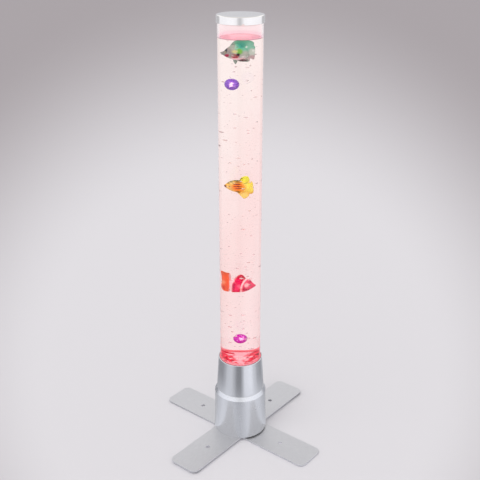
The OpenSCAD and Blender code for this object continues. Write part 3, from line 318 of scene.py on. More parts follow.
def rounded_box_line(length, width, r, steps=14):
    """A rectangle about the origin whose corners are arcs of radius r."""
    a = np.linspace(0, math.pi / 2, steps)
    quarter = np.arange(4)[:, None] * math.pi / 2 + a
    sx = np.array([1, -1, -1, 1])[:, None] * (length / 2 - r)
    sy = np.array([1, 1, -1, -1])[:, None] * (width / 2 - r)
    return np.stack([sx + r * np.cos(quarter), sy + r * np.sin(quarter)], -1).reshape(-1, 2)


def globe(rows, cols):
    """A unit ball's points on rows of latitude and columns of longitude, and each one's latitude."""
    la, lo = np.meshgrid(np.linspace(-math.pi / 2, math.pi / 2, rows),
                         np.linspace(0, TURN, cols, endpoint=False), indexing="ij")
    points = np.stack([np.cos(la) * np.cos(lo), np.cos(la) * np.sin(lo), np.sin(la)], -1)
    return points.reshape(-1, 3), la.reshape(-1, 1)


def turned(points, angle, place=(0, 0, 0)):
    """Points turned about Z, then moved to their place."""
    c, s = math.cos(angle), math.sin(angle)
    p = np.asarray(points, float).reshape(-1, 3)
    return np.stack([p[:, 0] * c - p[:, 1] * s, p[:, 0] * s + p[:, 1] * c, p[:, 2]], -1) + np.array(place)


def settle(piece, body, material, node=None, casts_shadow=True):
    """Puts a piece on its body in its finish, in place of its CAD node."""
    piece.data.materials.clear()
    piece.data.materials.append(material)
    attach(piece, body)
    if node:
        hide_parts(node)
    piece.visible_shadow = casts_shadow
    return piece


# ----- finishes


class Nodes:
    """The nodes of a material or of the world. Each call adds one and gives back its output. An input is a
    number, a colour, a vector or another node's output."""

    def __init__(self, owner):
        owner.use_nodes = True
        self.owner, self.tree = owner, owner.node_tree
        self.tree.nodes.clear()

    def add(self, kind, inputs, output=0, **settings):
        node = self.tree.nodes.new("ShaderNode" + kind)
        for key, value in settings.items():
            setattr(node, key, value)
        for key, value in inputs.items():
            socket = node.inputs[key]
            if isinstance(value, bpy.types.NodeSocket):
                self.tree.links.new(value, socket)
            else:
                socket.default_value = (*value[:3], 1) if socket.type == "RGBA" else value
        return node.outputs[output]

    def done(self, shader, kind="OutputMaterial"):
        """Ends the nodes in a shader, and gives the material."""
        out = self.tree.nodes.new("ShaderNode" + kind)
        self.tree.links.new(shader, out.inputs["Surface"])
        return self.owner

    def place(self, scale=(1, 1, 1), turn=0.0):
        """The piece's own coordinates, stretched and turned for a pattern."""
        coords = self.add("TexCoord", {}, "Object")
        return self.add("Mapping", {"Vector": coords, "Scale": scale, "Rotation": (0, 0, turn)})

    def front(self):
        """The piece's own coordinates, turned about the lamp so that X runs to the photo's front."""
        return self.place(turn=-CAMERA_HEADING)

    def part(self, vector, axis):
        return self.add("SeparateXYZ", {0: vector}, axis)

    def vector(self, operation, a, b, c=(0, 0, 0)):
        return self.add("VectorMath", {0: a, 1: b, 2: c}, operation=operation)

    def scaled(self, vector, share):
        return self.add("VectorMath", {0: vector, "Scale": share}, operation="SCALE")

    def length(self, vector):
        return self.add("VectorMath", {0: vector}, "Value", operation="LENGTH")

    def reach(self):
        """Distance from the lamp's axis."""
        return self.length(self.vector("MULTIPLY", self.place(), (1, 1, 0)))

    def heading(self, vector):
        """Angle of a vector about the lamp, counterclockwise from +X."""
        return self.math("ARCTAN2", self.part(vector, "Y"), self.part(vector, "X"))

    def math(self, operation, a, b=0.0, c=0.0, clamp=False):
        return self.add("Math", {0: a, 1: b, 2: c}, operation=operation, use_clamp=clamp)

    def span(self, value, low, high, kind="LINEAR"):
        """Runs from 0 to 1 while the value runs from low to high."""
        return self.add("MapRange", {"Value": value, "From Min": low, "From Max": high},
                        interpolation_type=kind)

    def ramp(self, factor, *stops, kind="LINEAR"):
        """Colours along a factor; a stop is its place and its colour, or a number for a grey."""
        out = self.add("ValToRGB", {"Fac": factor})
        out.node.color_ramp.interpolation = kind
        points = out.node.color_ramp.elements
        while len(points) < len(stops):
            points.new(0.5)
        for point, (position, colour) in zip(points, stops):
            point.position = position
            point.color = (*((colour,) * 3 if isinstance(colour, (int, float)) else colour[:3]), 1)
        return out

    def mix(self, factor, a, b):
        """Colour a where the factor is 0 and b where it is 1."""
        return self.add("Mix", {0: factor, 6: a, 7: b}, 2, data_type="RGBA")

    def blend(self, factor, a, b):
        """Shader a where the factor is 0 and b where it is 1."""
        return self.add("MixShader", {"Fac": factor, 1: a, 2: b})

    def noise(self, vector, scale, detail=3.0, roughness=0.5, output="Fac"):
        """Soft noise of a given scale per metre."""
        return self.add("TexNoise", {
            "Vector": vector, "Scale": scale, "Detail": detail, "Roughness": roughness}, output)

    def relief(self, height, depth, strength=1.0):
        """A bump of the given depth in metres."""
        return self.add("Bump", {"Height": height, "Distance": depth, "Strength": strength})

    def surface(self, colour, roughness, normal=None, glow=0.0, **more):
        """The main shader. Glow is the strength of light in its own colour. A name in more is that of an
        input, with underscores for its blanks."""
        inputs = {"Base Color": colour, "Roughness": roughness}
        if normal:
            inputs["Normal"] = normal
        if glow:
            inputs |= {"Emission Color": colour, "Emission Strength": glow}
        return self.add("BsdfPrincipled", inputs | {key.replace("_", " "): more[key] for key in more})


def finish(name):
    """The nodes of a new material."""
    return Nodes(bpy.data.materials.new(name))


def shades(colour, share):
    """Two shades a share darker and lighter than a colour."""
    c = np.array(colour[:3])
    return tuple(c * (1 - share)), tuple(np.minimum(c * (1 + share), 1))


def metal(nodes, colour, roughness, metallic=1.0, spread=0.05, grain=900.0, stretch=(1, 1, 1)):
    """Sprayed, rolled or turned metal: two close shades mixed by a grain that may be stretched, a wider
    clouding of its gloss, and a shallow relief of the same grain."""
    vector = nodes.place(stretch)
    fine = nodes.noise(vector, grain, 4)
    cloud = nodes.noise(vector, grain / 30, 2)
    low, high = shades(colour, spread)
    return nodes.surface(nodes.ramp(fine, (0.3, low), (0.7, high)),
                         nodes.math("MULTIPLY_ADD", cloud, 0.12, roughness - 0.06),
                         nodes.relief(fine, 0.02 * MM, 0.4), Metallic=metallic)


def metal_finish(name, *looks):
    nodes = finish(name)
    return nodes.done(metal(nodes, *looks))


def plastic_finish(name, colour, roughness, spread=0.06, grain=600.0, depth=0.03 * MM, clear=0.0, sheen=0.0):
    """Moulded plastic or rubber: a faint mottle of two shades and a fine relief."""
    nodes = finish(name)
    fine = nodes.noise(nodes.place(), grain, 3)
    low, high = shades(colour, spread)
    return nodes.done(nodes.surface(
        nodes.ramp(fine, (0.35, low), (0.65, high)), roughness, nodes.relief(fine, depth, 0.5),
        Transmission_Weight=clear, Sheen_Weight=sheen))


def board_finish(name, colour, track):
    """Circuit board: solder mask over copper tracks, which run in steps along one way."""
    nodes = finish(name)
    vector = nodes.place(turn=math.radians(45))
    cells = nodes.add("TexVoronoi", {"Vector": vector, "Scale": 260.0}, "Distance", distance="CHEBYCHEV")
    return nodes.done(nodes.surface(
        nodes.ramp(cells, (0.42, colour), (0.5, track)), 0.3, nodes.relief(cells, 0.04 * MM, 0.4)))


def layered_finish(name, colour, gap, pitch, axis, metallic, roughness):
    """Stacked sheet or wound wire: even bands across one axis, each rounded by a relief."""
    nodes = finish(name)
    bands = nodes.add("TexWave", {"Vector": nodes.place(), "Scale": 0.314 / pitch, "Distortion": 0.0}, "Fac",
                      wave_type="BANDS", bands_direction=axis, wave_profile="SIN")
    return nodes.done(nodes.surface(nodes.ramp(bands, (0.15, gap), (0.5, colour)), roughness,
                                    nodes.relief(bands, 0.2 * MM, 0.6), Metallic=metallic))


def glow_finish(name, colour, fleck, strength):
    """The lit plug: it glows, with dark flecks and paler patches where the lights stand under it."""
    nodes = finish(name)
    flecks = nodes.noise(nodes.place(), 330.0, 3, 0.6)
    patches = nodes.noise(nodes.place(), 90.0, 2)
    pale = np.minimum(np.array(colour[:3]) * 0.5 + 0.45, 1)
    tone = nodes.mix(nodes.ramp(patches, (0.45, 0), (0.75, 0.75)), colour, pale)
    tone = nodes.mix(nodes.ramp(flecks, (0.36, 1), (0.46, 0)), tone, fleck)
    return nodes.done(nodes.surface(tone, 0.2, glow=strength))


# ----- stage


class LAMP_OT_stage(bpy.types.Operator):
    """Lay the pale floor and set the soft light and the camera"""

    bl_idname = "lamp.stage"
    bl_label = "Stage"

    def execute(self, context):
        settings = context.scene.lamp_stage
        # floor: rings whose spacing grows outwards as the cube of their number
        count, sides, floor_r, floor_z = 40, 96, 40.0, -0.2 * MM
        ring = np.linspace(0, 1, count)[:, None] ** 3 * floor_r
        angle = np.linspace(0, TURN, sides, endpoint=False)
        points = np.stack([ring * np.cos(angle), ring * np.sin(angle), np.full((count, sides), floor_z)], -1)
        floor = mesh_piece("floor", points, grid_quads(count, sides)[:, ::-1])
        floor.data.materials.append(self.floor_finish(settings))
        self.light(context, settings)
        self.camera(context)
        return {"FINISHED"}

    def floor_finish(self, settings):
        """Matt floor with a painted pool of light: it is painted lighter inside the pool and darker beyond
        it. The pool's edge is a long oval that widens away from the camera:
        the distance from its middle, halved along the camera's heading, is shared by the distance from a
        line 2 m in front of the lamp. Glass shows the floor plain white, and metal shows the studio's soft
        bands on it: faint near the lamp, and full and brighter further out."""
        nodes = finish("pale_floor")
        coords = nodes.add("TexCoord", {}, "Object")
        way = nodes.front()
        oval = nodes.length(nodes.vector("MULTIPLY_ADD", way, (-0.544, 1, 0), (-0.126, 0, 0)))
        depth = nodes.math("SUBTRACT", 2.03, nodes.part(way, "X"))
        edge = nodes.math("DIVIDE", oval, nodes.math("MAXIMUM", depth, 0.8))
        # painted light and shade: the lit pool's colour inside the oval, a darker colour beyond it
        tone = nodes.mix(nodes.span(edge, *POOL_EDGE, "SMOOTHSTEP"), settings.painted_pool_floor, settings.painted_dim_floor)
        matt = nodes.add("BsdfDiffuse", {"Color": tone})
        share = self.heading_share(nodes, coords)
        low, middle, wide = (
            self.bands(nodes, share, spread) for spread in (NEAR_BANDS, MIDDLE_BANDS, WIDE_BANDS))
        near, far = (nodes.span(nodes.length(coords), *ring, "SMOOTHSTEP") for ring in (NEAR_RING, FAR_RING))
        seen = nodes.mix(far, nodes.mix(near, low, middle), wide)
        through, gloss = (nodes.add("LightPath", {}, f"Is {ray} Ray") for ray in ("Transmission", "Glossy"))
        bright = nodes.add("Emission", {"Color": nodes.mix(through, seen, (1, 1, 1)), "Strength": 1.0})
        return nodes.done(nodes.blend(nodes.math("MAXIMUM", through, gloss), matt, bright))

    def heading_share(self, nodes, vector):
        """Heading of a place or way about the lamp, as a share of a turn: a half is towards the camera."""
        turns = nodes.math("DIVIDE", nodes.heading(vector), TURN)
        return nodes.math("FRACT", nodes.math("ADD", turns, 1.5 - CAMERA_HEADING / TURN))

    def bands(self, nodes, share, spread):
        """Soft bands of light and dark round the studio, by heading in degrees from the camera's."""
        return nodes.ramp(share, *((0.5 + a / 360, (v * 0.98, v * 0.99, v * 1.06)) for a, v in spread),
                          kind="EASE")

    def light(self, context, settings):
        """One even light from all round, with the studio's bands for gloss, and one wide lamp."""
        context.scene.world = bpy.data.worlds.new("studio")
        nodes = Nodes(context.scene.world)
        coords = nodes.add("TexCoord", {}, "Generated")
        up = nodes.part(coords, "Z")
        bands = self.bands(nodes, self.heading_share(nodes, coords), WIDE_BANDS)
        high = nodes.ramp(up, (0.3, (1.28, 1.28, 1.3)), (0.6, (1.0, 1.0, 1.01)), (0.8, (0.5, 0.49, 0.5)),
                          (0.93, (0.7, 0.69, 0.7)))
        tone = (settings.sky_light,) * 3
        for ray, seen in (("Glossy", nodes.mix(nodes.ramp(up, (0.2, 0), (0.4, 1)), bands, high)),
                          ("Transmission", (1, 1, 1)), ("Camera", settings.painted_dim_floor)):
            tone = nodes.mix(nodes.add("LightPath", {}, f"Is {ray} Ray"), tone, seen)
        nodes.done(nodes.add("Background", {"Color": tone, "Strength": 1.0}), "OutputWorld")
        sun = bpy.data.lights.new("soft_lamp", "SUN")
        sun.energy = settings.sun_light
        sun.angle = math.radians(50)
        lamp = bpy.data.objects.new("soft_lamp", sun)
        lamp.rotation_euler = (math.radians(28), 0, CAMERA_HEADING + math.radians(60))
        lamp.visible_glossy = False
        context.scene.collection.objects.link(lamp)

    def camera(self, context):
        """The photo's view."""
        data = bpy.data.cameras.new("camera")
        data.lens = CAMERA_LENS
        data.sensor_width = 36
        data.sensor_fit = "HORIZONTAL"
        camera = bpy.data.objects.new("camera", data)
        camera.location = CAMERA_PLACE
        camera.rotation_euler = (math.pi / 2 - CAMERA_PITCH, 0, CAMERA_HEADING + math.pi / 2 + CAMERA_SIDE)
        context.scene.collection.objects.link(camera)
        context.scene.camera = camera
        context.scene.view_settings.view_transform = "Standard"
        cycles = context.scene.cycles
        cycles.max_bounces = cycles.transmission_bounces = cycles.transparent_max_bounces = BOUNCES


# ----- tube, water and bubbles


class LAMP_OT_tube(bpy.types.Operator):
    """Make the clear tube and the lit water in it"""

    bl_idname = "lamp.tube"
    bl_label = "Tube and water"

    def execute(self, context):
        tube = context.scene.lamp_tube
        wall = rounded([(TUBE_IN_R, TUBE_LOW.z), (TUBE_R, TUBE_LOW.z), (TUBE_R, TUBE_HIGH.z),
                        (TUBE_IN_R, TUBE_HIGH.z)], [0.4 * MM] * 4, 3)
        settle(revolved("clear_tube", wall, 256), "lamp", self.wall_finish(tube), "tube",
               casts_shadow=False)
        # water reaches a hair into the tube's wall, and its surface climbs the wall in a meniscus that
        # falls off as the exponential of the distance from it. Rows of points stand close together at
        # the rims, so that the long faces between them shade flat
        over = TUBE_IN_R + 0.12 * MM
        r = over * (1 - np.linspace(0, 1, 40) ** 2.5)
        top = tube.water_level + 0.9 * MM * np.exp((r - over) / (0.8 * MM))
        low = PLUG_TOP - 0.3 * MM
        side = np.concatenate([[low + 0.02 * MM], np.linspace(low + 0.1 * MM, top[0] - 0.1 * MM, 60),
                               [top[0] - 0.02 * MM]])
        profile = np.concatenate([
            np.stack([over * (1 - np.linspace(1, 0, 12) ** 2.5), np.full(12, low)], -1),
            np.stack([np.full(len(side), over), side], -1),
            np.stack([r, top], -1)])
        settle(revolved("water", profile, 256, closed=False), "lamp", self.water_finish(tube),
               casts_shadow=False)
        # a skin on the water, where the lamp's light leaves it
        r = np.linspace(0, TUBE_IN_R - 0.2 * MM, 36)[::-1]
        top = tube.water_level + 0.15 * MM + 1.4 * MM * np.exp((r - r[0]) / (1.5 * MM))
        settle(revolved("water_skin", np.stack([r, top], -1), 192, closed=False), "lamp",
               self.skin_finish(np.array(tube.surface_light_tint)), casts_shadow=False)
        return {"FINISHED"}

    def wall_finish(self, tube):
        """Clear acrylic that carries the lamp's light, painted in: faintly pink, deepest in a band just over
        the water, and with a painted glow along its edges. Its bore mirrors little where it is wet."""
        nodes = finish("clear_acrylic")
        height = nodes.part(nodes.place(), "Z")
        tone = nodes.ramp(nodes.span(height, tube.water_level - 1 * MM, TUBE_HIGH.z),
                          (0, (0.995, 0.985, 0.985)), (0.04, tube.wall_light_band), (0.15, tube.wall_light_band),
                          (0.26, (0.99, 0.885, 0.893)), (1, (0.99, 0.89, 0.895)))
        facing = nodes.add("LayerWeight", {"Blend": 0.5}, "Facing")
        # painted glow along the tube's edges, where the wall is seen edge on
        edge = nodes.ramp(facing, (0.40, 0), (0.54, 0.014), (0.75, 0.02), (0.97, 0.16))
        wet = nodes.math("MULTIPLY", nodes.math("LESS_THAN", nodes.reach(), TUBE_IN_R + 0.5 * MM),
                         nodes.math("LESS_THAN", height, tube.water_level))
        return nodes.done(nodes.surface(
            tone, 0.0, IOR=ACRYLIC_BEND, Transmission_Weight=1.0, Emission_Color=(1.0, 0.93, 0.92),
            Emission_Strength=edge, Specular_Tint=nodes.mix(wet, (1, 1, 1), (0.1, 0.1, 0.1))))

    def water_finish(self, tube):
        """Lit water: clear, bending light as water does, its tint the lamp's red light painted in, paling
        from the plug to the surface and painted paler towards the side where the soft lamp stands, with a
        cloudy drift of fine bubbles."""
        nodes = finish("lit_water")
        share = nodes.span(nodes.part(nodes.place(), "Z"), PLUG_TOP, tube.water_level)
        # painted light: the tint pales towards the soft lamp's side
        share = nodes.math("ADD", share, nodes.math("MULTIPLY", nodes.part(nodes.front(), "Y"), -4.5))
        drift = nodes.noise(nodes.place((1, 1, 0.5)), 42.0, 4)
        level = nodes.math("SUBTRACT", nodes.math("MULTIPLY_ADD", drift, 0.5, share), 0.25, clamp=True)
        low, middle, high = (np.array(c) for c in (
            tube.water_glow_low, tube.water_glow_middle, tube.water_glow_top))
        tone = nodes.ramp(level, (0, low), (0.14, 0.8 * low + 0.2 * high), (0.42, middle),
                          (0.64, 0.6 * middle + 0.4 * high), (0.85, 0.2 * middle + 0.8 * high), (1, high))
        return nodes.done(nodes.surface(
            tone, 0.0, nodes.relief(drift, 0.4 * MM, 0.5), IOR=WATER_BEND, Transmission_Weight=1.0,
            Specular_Tint=(0.12, 0.12, 0.12)))

    def skin_finish(self, colour):
        """The water's bright skin: half clear, half gloss that glows with painted light, with a slow swirl.
        """
        nodes = finish("lit_surface")
        swirl = nodes.noise(nodes.place(), 60.0, 3)
        tone = nodes.ramp(swirl, (0.35, colour), (0.7, np.minimum(colour * 1.12, 1)))
        # the glow is painted light gathered at the surface
        gloss = nodes.surface(tone, 0.08, nodes.relief(swirl, 0.6 * MM, 0.6), 0.55)
        return nodes.done(nodes.blend(0.55, nodes.add("BsdfTransparent", {"Color": tone}), gloss))


class LAMP_OT_bubbles(bpy.types.Operator):
    """Scatter bubbles through the water, clear of the fish and balls' way"""

    bl_idname = "lamp.bubbles"
    bl_label = "Bubbles"

    def execute(self, context):
        tube = context.scene.lamp_tube
        rng = np.random.default_rng(7)
        nodes = finish("air_in_water")
        air = nodes.done(nodes.surface((1.0, 0.93, 0.93), 0.0, IOR=AIR_BEND, Transmission_Weight=1.0))
        for name, count, size, rows, cols in (
                ("bubbles", tube.bubble_count, tube.bubble_size, 10, 16),
                ("fizz", tube.fizz_count, tube.bubble_size * 0.36, 6, 8)):
            if count:
                piece = self.swarm(name, rng, count, size, rows, cols, tube)
                settle(piece, "lamp", air, casts_shadow=False)
        return {"FINISHED"}

    def swarm(self, name, rng, count, size, rows, cols, tube):
        """Flattened balls at chance places: each is a unit ball scaled by its own size, flatter the larger
        it is. Places lie in the water but outside the slab that the fish sweep."""
        water_r, slab_half, slab_end = 37 * MM, 15.5 * MM, 34 * MM
        spots = np.zeros((0, 3))
        while len(spots) < count:
            u, v = (rng.uniform(-38, 38, 4 * count) * MM for _ in range(2))
            z = rng.uniform(PLUG_TOP + 12 * MM, tube.water_level - 8 * MM, 4 * count)
            fits = (np.hypot(u, v) < water_r) & ((np.abs(v) > slab_half) | (np.abs(u) > slab_end))
            spots = np.concatenate([spots, np.stack([u, v, z], -1)[fits]])
        spots = turned(spots[:count], FISH_TURN)
        share = np.exp(rng.normal(0, 0.5, count)).clip(0.45, 1.65)[:, None]
        ball, _ = globe(rows + 1, cols)
        scale = share * size * np.concatenate([np.ones((count, 2)), 0.44 - 0.2 * (share - 1)], 1)
        points = spots[:, None] + ball * scale[:, None]
        faces = grid_quads(rows + 1, cols)[None] + (np.arange(count) * len(ball))[:, None, None]
        return mesh_piece(name, points, faces.reshape(-1, 4))


# ----- cap, collar, can and bars


class LAMP_OT_cap(bpy.types.Operator):
    """Make the silver cap over the tube's top"""

    bl_idname = "lamp.cap"
    bl_label = "Cap"

    def execute(self, context):
        r, top, low = CAP_HIGH.x, CAP_HIGH.z, CAP_LOW.z
        rest = TUBE_HIGH.z
        spigot = TUBE_IN_R - 0.4 * MM
        skirt_in = TUBE_R + 0.4 * MM
        skirt_low = rest - 11.8 * MM
        inner = spigot - 2 * MM
        corners = [(0, rest), (inner, rest), (inner, low), (spigot, low), (spigot, rest), (skirt_in, rest),
                   (skirt_in, skirt_low), (r, skirt_low), (r, top), (0, top)]
        radii = np.array([0.001, 0.4, 0.3, 0.7, 0.2, 0.2, 0.3, 0.4, 2.0, 0.001]) * MM
        profile = rounded(corners, radii, 5)
        profile[:, 0] = np.maximum(profile[:, 0], 0)

        def vents(radius, z, angle):
            """Lifts the skirt's lower edge at the two vent notches: by the notch's height times a window of
            the distance along the edge, flat in the middle with steep ends."""
            half, high, steep = 2.5 * MM, 2 * MM, 0.35 * MM
            off = np.abs((angle - REAR + math.pi / 2) % math.pi - math.pi / 2) * radius
            window = np.clip((half - off) / steep + 0.5, 0, 1)
            skirt = (radius > skirt_in - 0.1 * MM) & (z < skirt_low + 1 * MM)
            return z + window * skirt * high

        silver = metal_finish("cap_silver", context.scene.lamp_metal.cap_silver, 0.13, 0.9, 0.03, 700.0)
        settle(revolved("cap_shell", profile, 720, raise_edge=vents), "cap", silver, "top_cap")
        return {"FINISHED"}


# The foot's silver: metal's share, spread of its shades, grain and the grain's stretch
SATIN = (1.0, 0.035, 800.0, (1, 1, 0.25))


class LAMP_OT_foot(bpy.types.Operator):
    """Make the tapered collar and finish the can and its base plate"""

    bl_idname = "lamp.foot"
    bl_label = "Collar and can"

    def execute(self, context):
        silver = context.scene.lamp_metal.silver
        foot_r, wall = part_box("collar")[1].x, 2.4 * MM
        bore_low = RIM_TOP - 9 * MM
        corners = [(foot_r - wall, DECK), (foot_r, DECK), (RIM_R, RIM_TOP), (BORE_R, RIM_TOP),
                   (BORE_R, bore_low), (RIM_R - wall, bore_low)]
        profile = rounded(corners, np.array([0.3, 0.35, 1.2, 0.4, 0.3, 0.3]) * MM, 5)
        settle(revolved("collar_shell", profile, 256), "lamp", self.lipped_finish(silver), "collar")
        for node, name, roughness in (("base_can", "can_silver", 0.26), ("base_plate", "satin_silver", 0.17)):
            dress(node, metal_finish(name, silver, roughness, *SATIN))
        return {"FINISHED"}

    def lipped_finish(self, silver):
        """Silver, but the front of the rim's flat lip is dark with painted shadow of the gap round the tube,
        and its back and the bore glow red with painted light, where the light falls."""
        nodes = finish("lipped_silver")
        bright = metal(nodes, silver, 0.17, *SATIN)
        # painted shadow in the gap round the tube
        dark = nodes.surface((0.10, 0.085, 0.085), 0.5, Metallic=0.4)
        # painted red light on the bore and the lip's back
        glow = nodes.surface((0.8, 0.12, 0.16), 0.5, Emission_Color=(0.9, 0.2, 0.25), Emission_Strength=0.45)
        lip, bore = (nodes.math("LESS_THAN", nodes.reach(), r) for r in (47.8 * MM, 46.5 * MM))
        back = nodes.math("LESS_THAN", nodes.part(nodes.front(), "X"), -10 * MM)
        lit = nodes.math("MAXIMUM", bore, nodes.math("MULTIPLY", lip, back))
        return nodes.done(nodes.blend(lit, nodes.blend(lip, bright, dark), glow))


class LAMP_OT_bars(bpy.types.Operator):
    """Make the two crossed steel bars with their holes and rounded edges"""

    bl_idname = "lamp.bars"
    bl_label = "Crossed bars"

    def execute(self, context):
        settings = context.scene.lamp_metal
        for name, turn, stretch in (("lower_bar", 0.0, (0.06, 1, 1)),
                                    ("upper_bar", math.pi / 2, (1, 0.06, 1))):
            low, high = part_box(name)
            lines = [rounded_box_line(BAR_LENGTH, BAR_WIDTH, BAR_CORNER)]
            lines += [circle_line(x, 0, FLOOR_HOLE_R)[::-1] for x in (-FLOOR_HOLE_OFF, FLOOR_HOLE_OFF)]
            lines += [circle_line(x, y, SCREW_HOLE_R, 32)[::-1] for x in (-SCREW_HOLE_OFF, SCREW_HOLE_OFF)
                      for y in (-SCREW_HOLE_OFF, SCREW_HOLE_OFF)]
            lines = [turned(np.c_[line, np.zeros(len(line))], turn)[:, :2] for line in lines]
            steel = metal_finish(name + "_steel", settings.bar_silver, 0.42, 0.85, 0.06, 1400.0, stretch)
            bar = plate(name + "_plate", lines, low.z, high.z, settings.edge_round)
            settle(bar, "lamp", steel, name)
        return {"FINISHED"}


def dress(node, material):
    """Gives a CAD node its finish."""
    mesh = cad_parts[node].data
    mesh.materials.clear()
    mesh.materials.append(material)


# ----- fish and balls


def fish_place(spec, s, y, z):
    """Points of a fish, given by distance from its snout, side and height, moved to its place in the
    tube: it stands along the fish's heading with its snout at its own offset."""
    way = 1 if spec["snout"] < 0 else -1
    s, y, z = np.broadcast_arrays(s, y, z)
    points = np.stack([spec["snout"] + way * s, way * y, z], -1) * MM
    return turned(points, FISH_TURN, (0, 0, PLUG_TOP + spec["height"]))


def fish_body(name, spec):
    """Body lofted through its stations: a ring's half width and half height come from the smooth line
    through them, its sides are a little fuller than an ellipse's, and the gill's edge and the lips stand
    out as narrow waves along the body."""
    cols = 56
    rings = glide(spec["stations"], 12)
    s, top, low, half = (rings[:, i:i + 1] for i in range(4))
    a = np.linspace(0, TURN, cols, endpoint=False)[None]
    gill = np.exp(-((s - spec["gill"] - 1.6 * np.cos(2 * a)) / 0.5) ** 2) * np.abs(np.cos(a)) * 0.28
    lips = 0.3 * np.exp(-((s - 1.3) / 0.55) ** 2)
    y = (half + gill + lips) * np.sign(np.cos(a)) * np.abs(np.cos(a)) ** 0.92
    z = (top + low) / 2 + ((top - low) / 2 + lips) * np.sin(a)
    s = s + 0 * a
    points = fish_place(spec, s, y, z).reshape(len(rings), cols, 3)
    uv = np.stack([s, z], -1) / UV_SPAN
    points, uv = (np.concatenate([np.repeat(g[:1].mean(1, keepdims=True), cols, 1), g,
                                  np.repeat(g[-1:].mean(1, keepdims=True), cols, 1)]) for g in (points, uv))
    return mesh_piece(name, points, grid_quads(len(rings) + 2, cols)[:, ::-1], uv)


def fish_fins(name, spec):
    """Fins as one mesh of thin leaves. A leaf runs straight out from its root, a line inside the body, to
    the smooth line through its edge's points. Its rays are ridges: a wave along the edge that grows
    outwards. Side fins are small leaves that stand out from the flanks. Solidify gives them thickness."""
    points, faces, uvs, rays, count = [], [], [], [], 0
    leaves = [(glide(edge, 8), root, 0.0, spec["rays"]) for edge, root in spec["fins"]]
    s0, out, z0 = spec["side"]
    for side in (-1, 1):
        edge = [(s0 + 2, z0 + 2.2), (s0 + 6, z0 + 3.4), (s0 + 9.4, z0 + 1.4), (s0 + 9.8, z0 - 1.6),
                (s0 + 6.6, z0 - 3.2), (s0 + 1.4, z0 - 1.6)]
        leaves.append((glide(edge, 8), [(s0, z0 + 0.8), (s0, z0 - 0.8)], side * out, 0.5))
    for edge, root, out, pitch in leaves:
        root = np.linspace(*np.array(root, float), len(edge))
        v = np.linspace(0, 1, 12)[:, None]
        u = np.concatenate([[0], np.cumsum(np.linalg.norm(np.diff(edge, axis=0), axis=1))])[None]
        s, z = (root[None, :, i] * (1 - v) + edge[None, :, i] * v for i in range(2))
        y = out + np.sign(out) * 1.1 * v + 0.22 * v * np.sin(TURN * u / pitch / 4)
        points.append(fish_place(spec, s, y, z))
        faces.append(grid_quads(*s.shape, wrap_cols=False) + count)
        uvs.append((np.stack([s, z], -1) / UV_SPAN).reshape(-1, 2))
        rays.append(np.stack([u / pitch / 4 + 0 * v, v + 0 * u], -1).reshape(-1, 2))
        count += s.size
    piece = mesh_piece(name, np.concatenate(points), np.concatenate(faces), np.concatenate(uvs), weld=False)
    add_uv(piece.data, "Rays", np.concatenate(rays))
    solid = piece.modifiers.new("thickness", "SOLIDIFY")
    solid.thickness = FIN_THICK
    solid.offset = 0
    return piece


def fish_eyes(name, spec):
    """Two domed eyes, seated on the flanks: each ring's distance from the eye's axis is its pattern
    coordinate, and the dome rises as half of an ellipse."""
    rows, cols = 9, 28
    s0, z0, r = spec["eye"]
    v, a = np.meshgrid(np.linspace(0, 1, rows), np.linspace(0, TURN, cols, endpoint=False), indexing="ij")
    ring = glide(spec["stations"], 12)
    top, low, half = (float(np.interp(s0, ring[:, 0], ring[:, i])) for i in (1, 2, 3))
    flank = half * math.sqrt(max(0.05, 1 - ((z0 - (top + low) / 2) / ((top - low) / 2)) ** 2))
    points, faces, uvs = [], [], []
    for k, side in enumerate((-1, 1)):
        y = side * (flank - 0.35 * r + r * 0.62 * np.sqrt(1 - (v * 0.98) ** 2))
        points.append(fish_place(spec, s0 + r * v * np.cos(a), y, z0 + r * v * np.sin(a)))
        quads = grid_quads(rows, cols) + k * rows * cols
        faces.append(quads if side < 0 else quads[:, ::-1])
        uvs.append(np.stack([v, a / TURN], -1).reshape(-1, 2))
    return mesh_piece(name, np.concatenate(points), np.concatenate(faces), np.concatenate(uvs))


def fish_paint(nodes, spec):
    """Colour of a fish by distance from the snout and height: soft-edged patches laid over each other on
    a ground colour. A patch fades where its distance, each way shared by the patch's size, nears one.
    Noise moves the patches' edges by up to half of the fish's own drift."""
    spot = nodes.scaled(nodes.add("UVMap", {}, uv_map="UVMap"), UV_SPAN)
    drift = nodes.vector("SUBTRACT", nodes.noise(nodes.place(), 260.0, output="Color"), (0.5, 0.5, 0.5))
    spot = nodes.vector("ADD", spot, nodes.scaled(drift, spec["drift"]))
    mottle = nodes.noise(nodes.place(), 420.0, 2)
    tone = nodes.ramp(mottle, (0.35, shades(spec["ground"], 0.12)[0]), (0.65, spec["ground"]))
    for s, z, long, high, soft, *colour in spec["patches"]:
        off = nodes.vector("SUBTRACT", spot, (s, z, 0))
        off = nodes.length(nodes.vector("MULTIPLY", off, (1 / long, 1 / high, 0)))
        tone = nodes.mix(nodes.span(off, 1 + soft, 1 - soft, "SMOOTHSTEP"), tone, colour)
    return tone


def fish_skin(name, spec):
    """Painted plastic with a relief of small scales."""
    nodes = finish(name)
    scales = nodes.add("TexVoronoi", {"Vector": nodes.place(), "Scale": 620.0}, "Distance")
    # the glow is painted light from the lamp below
    return nodes.done(nodes.surface(fish_paint(nodes, spec), 0.4, nodes.relief(scales, 0.12 * MM, 0.5),
                                    PAINTED_LAMP_GLOW, Specular_IOR_Level=0.1))


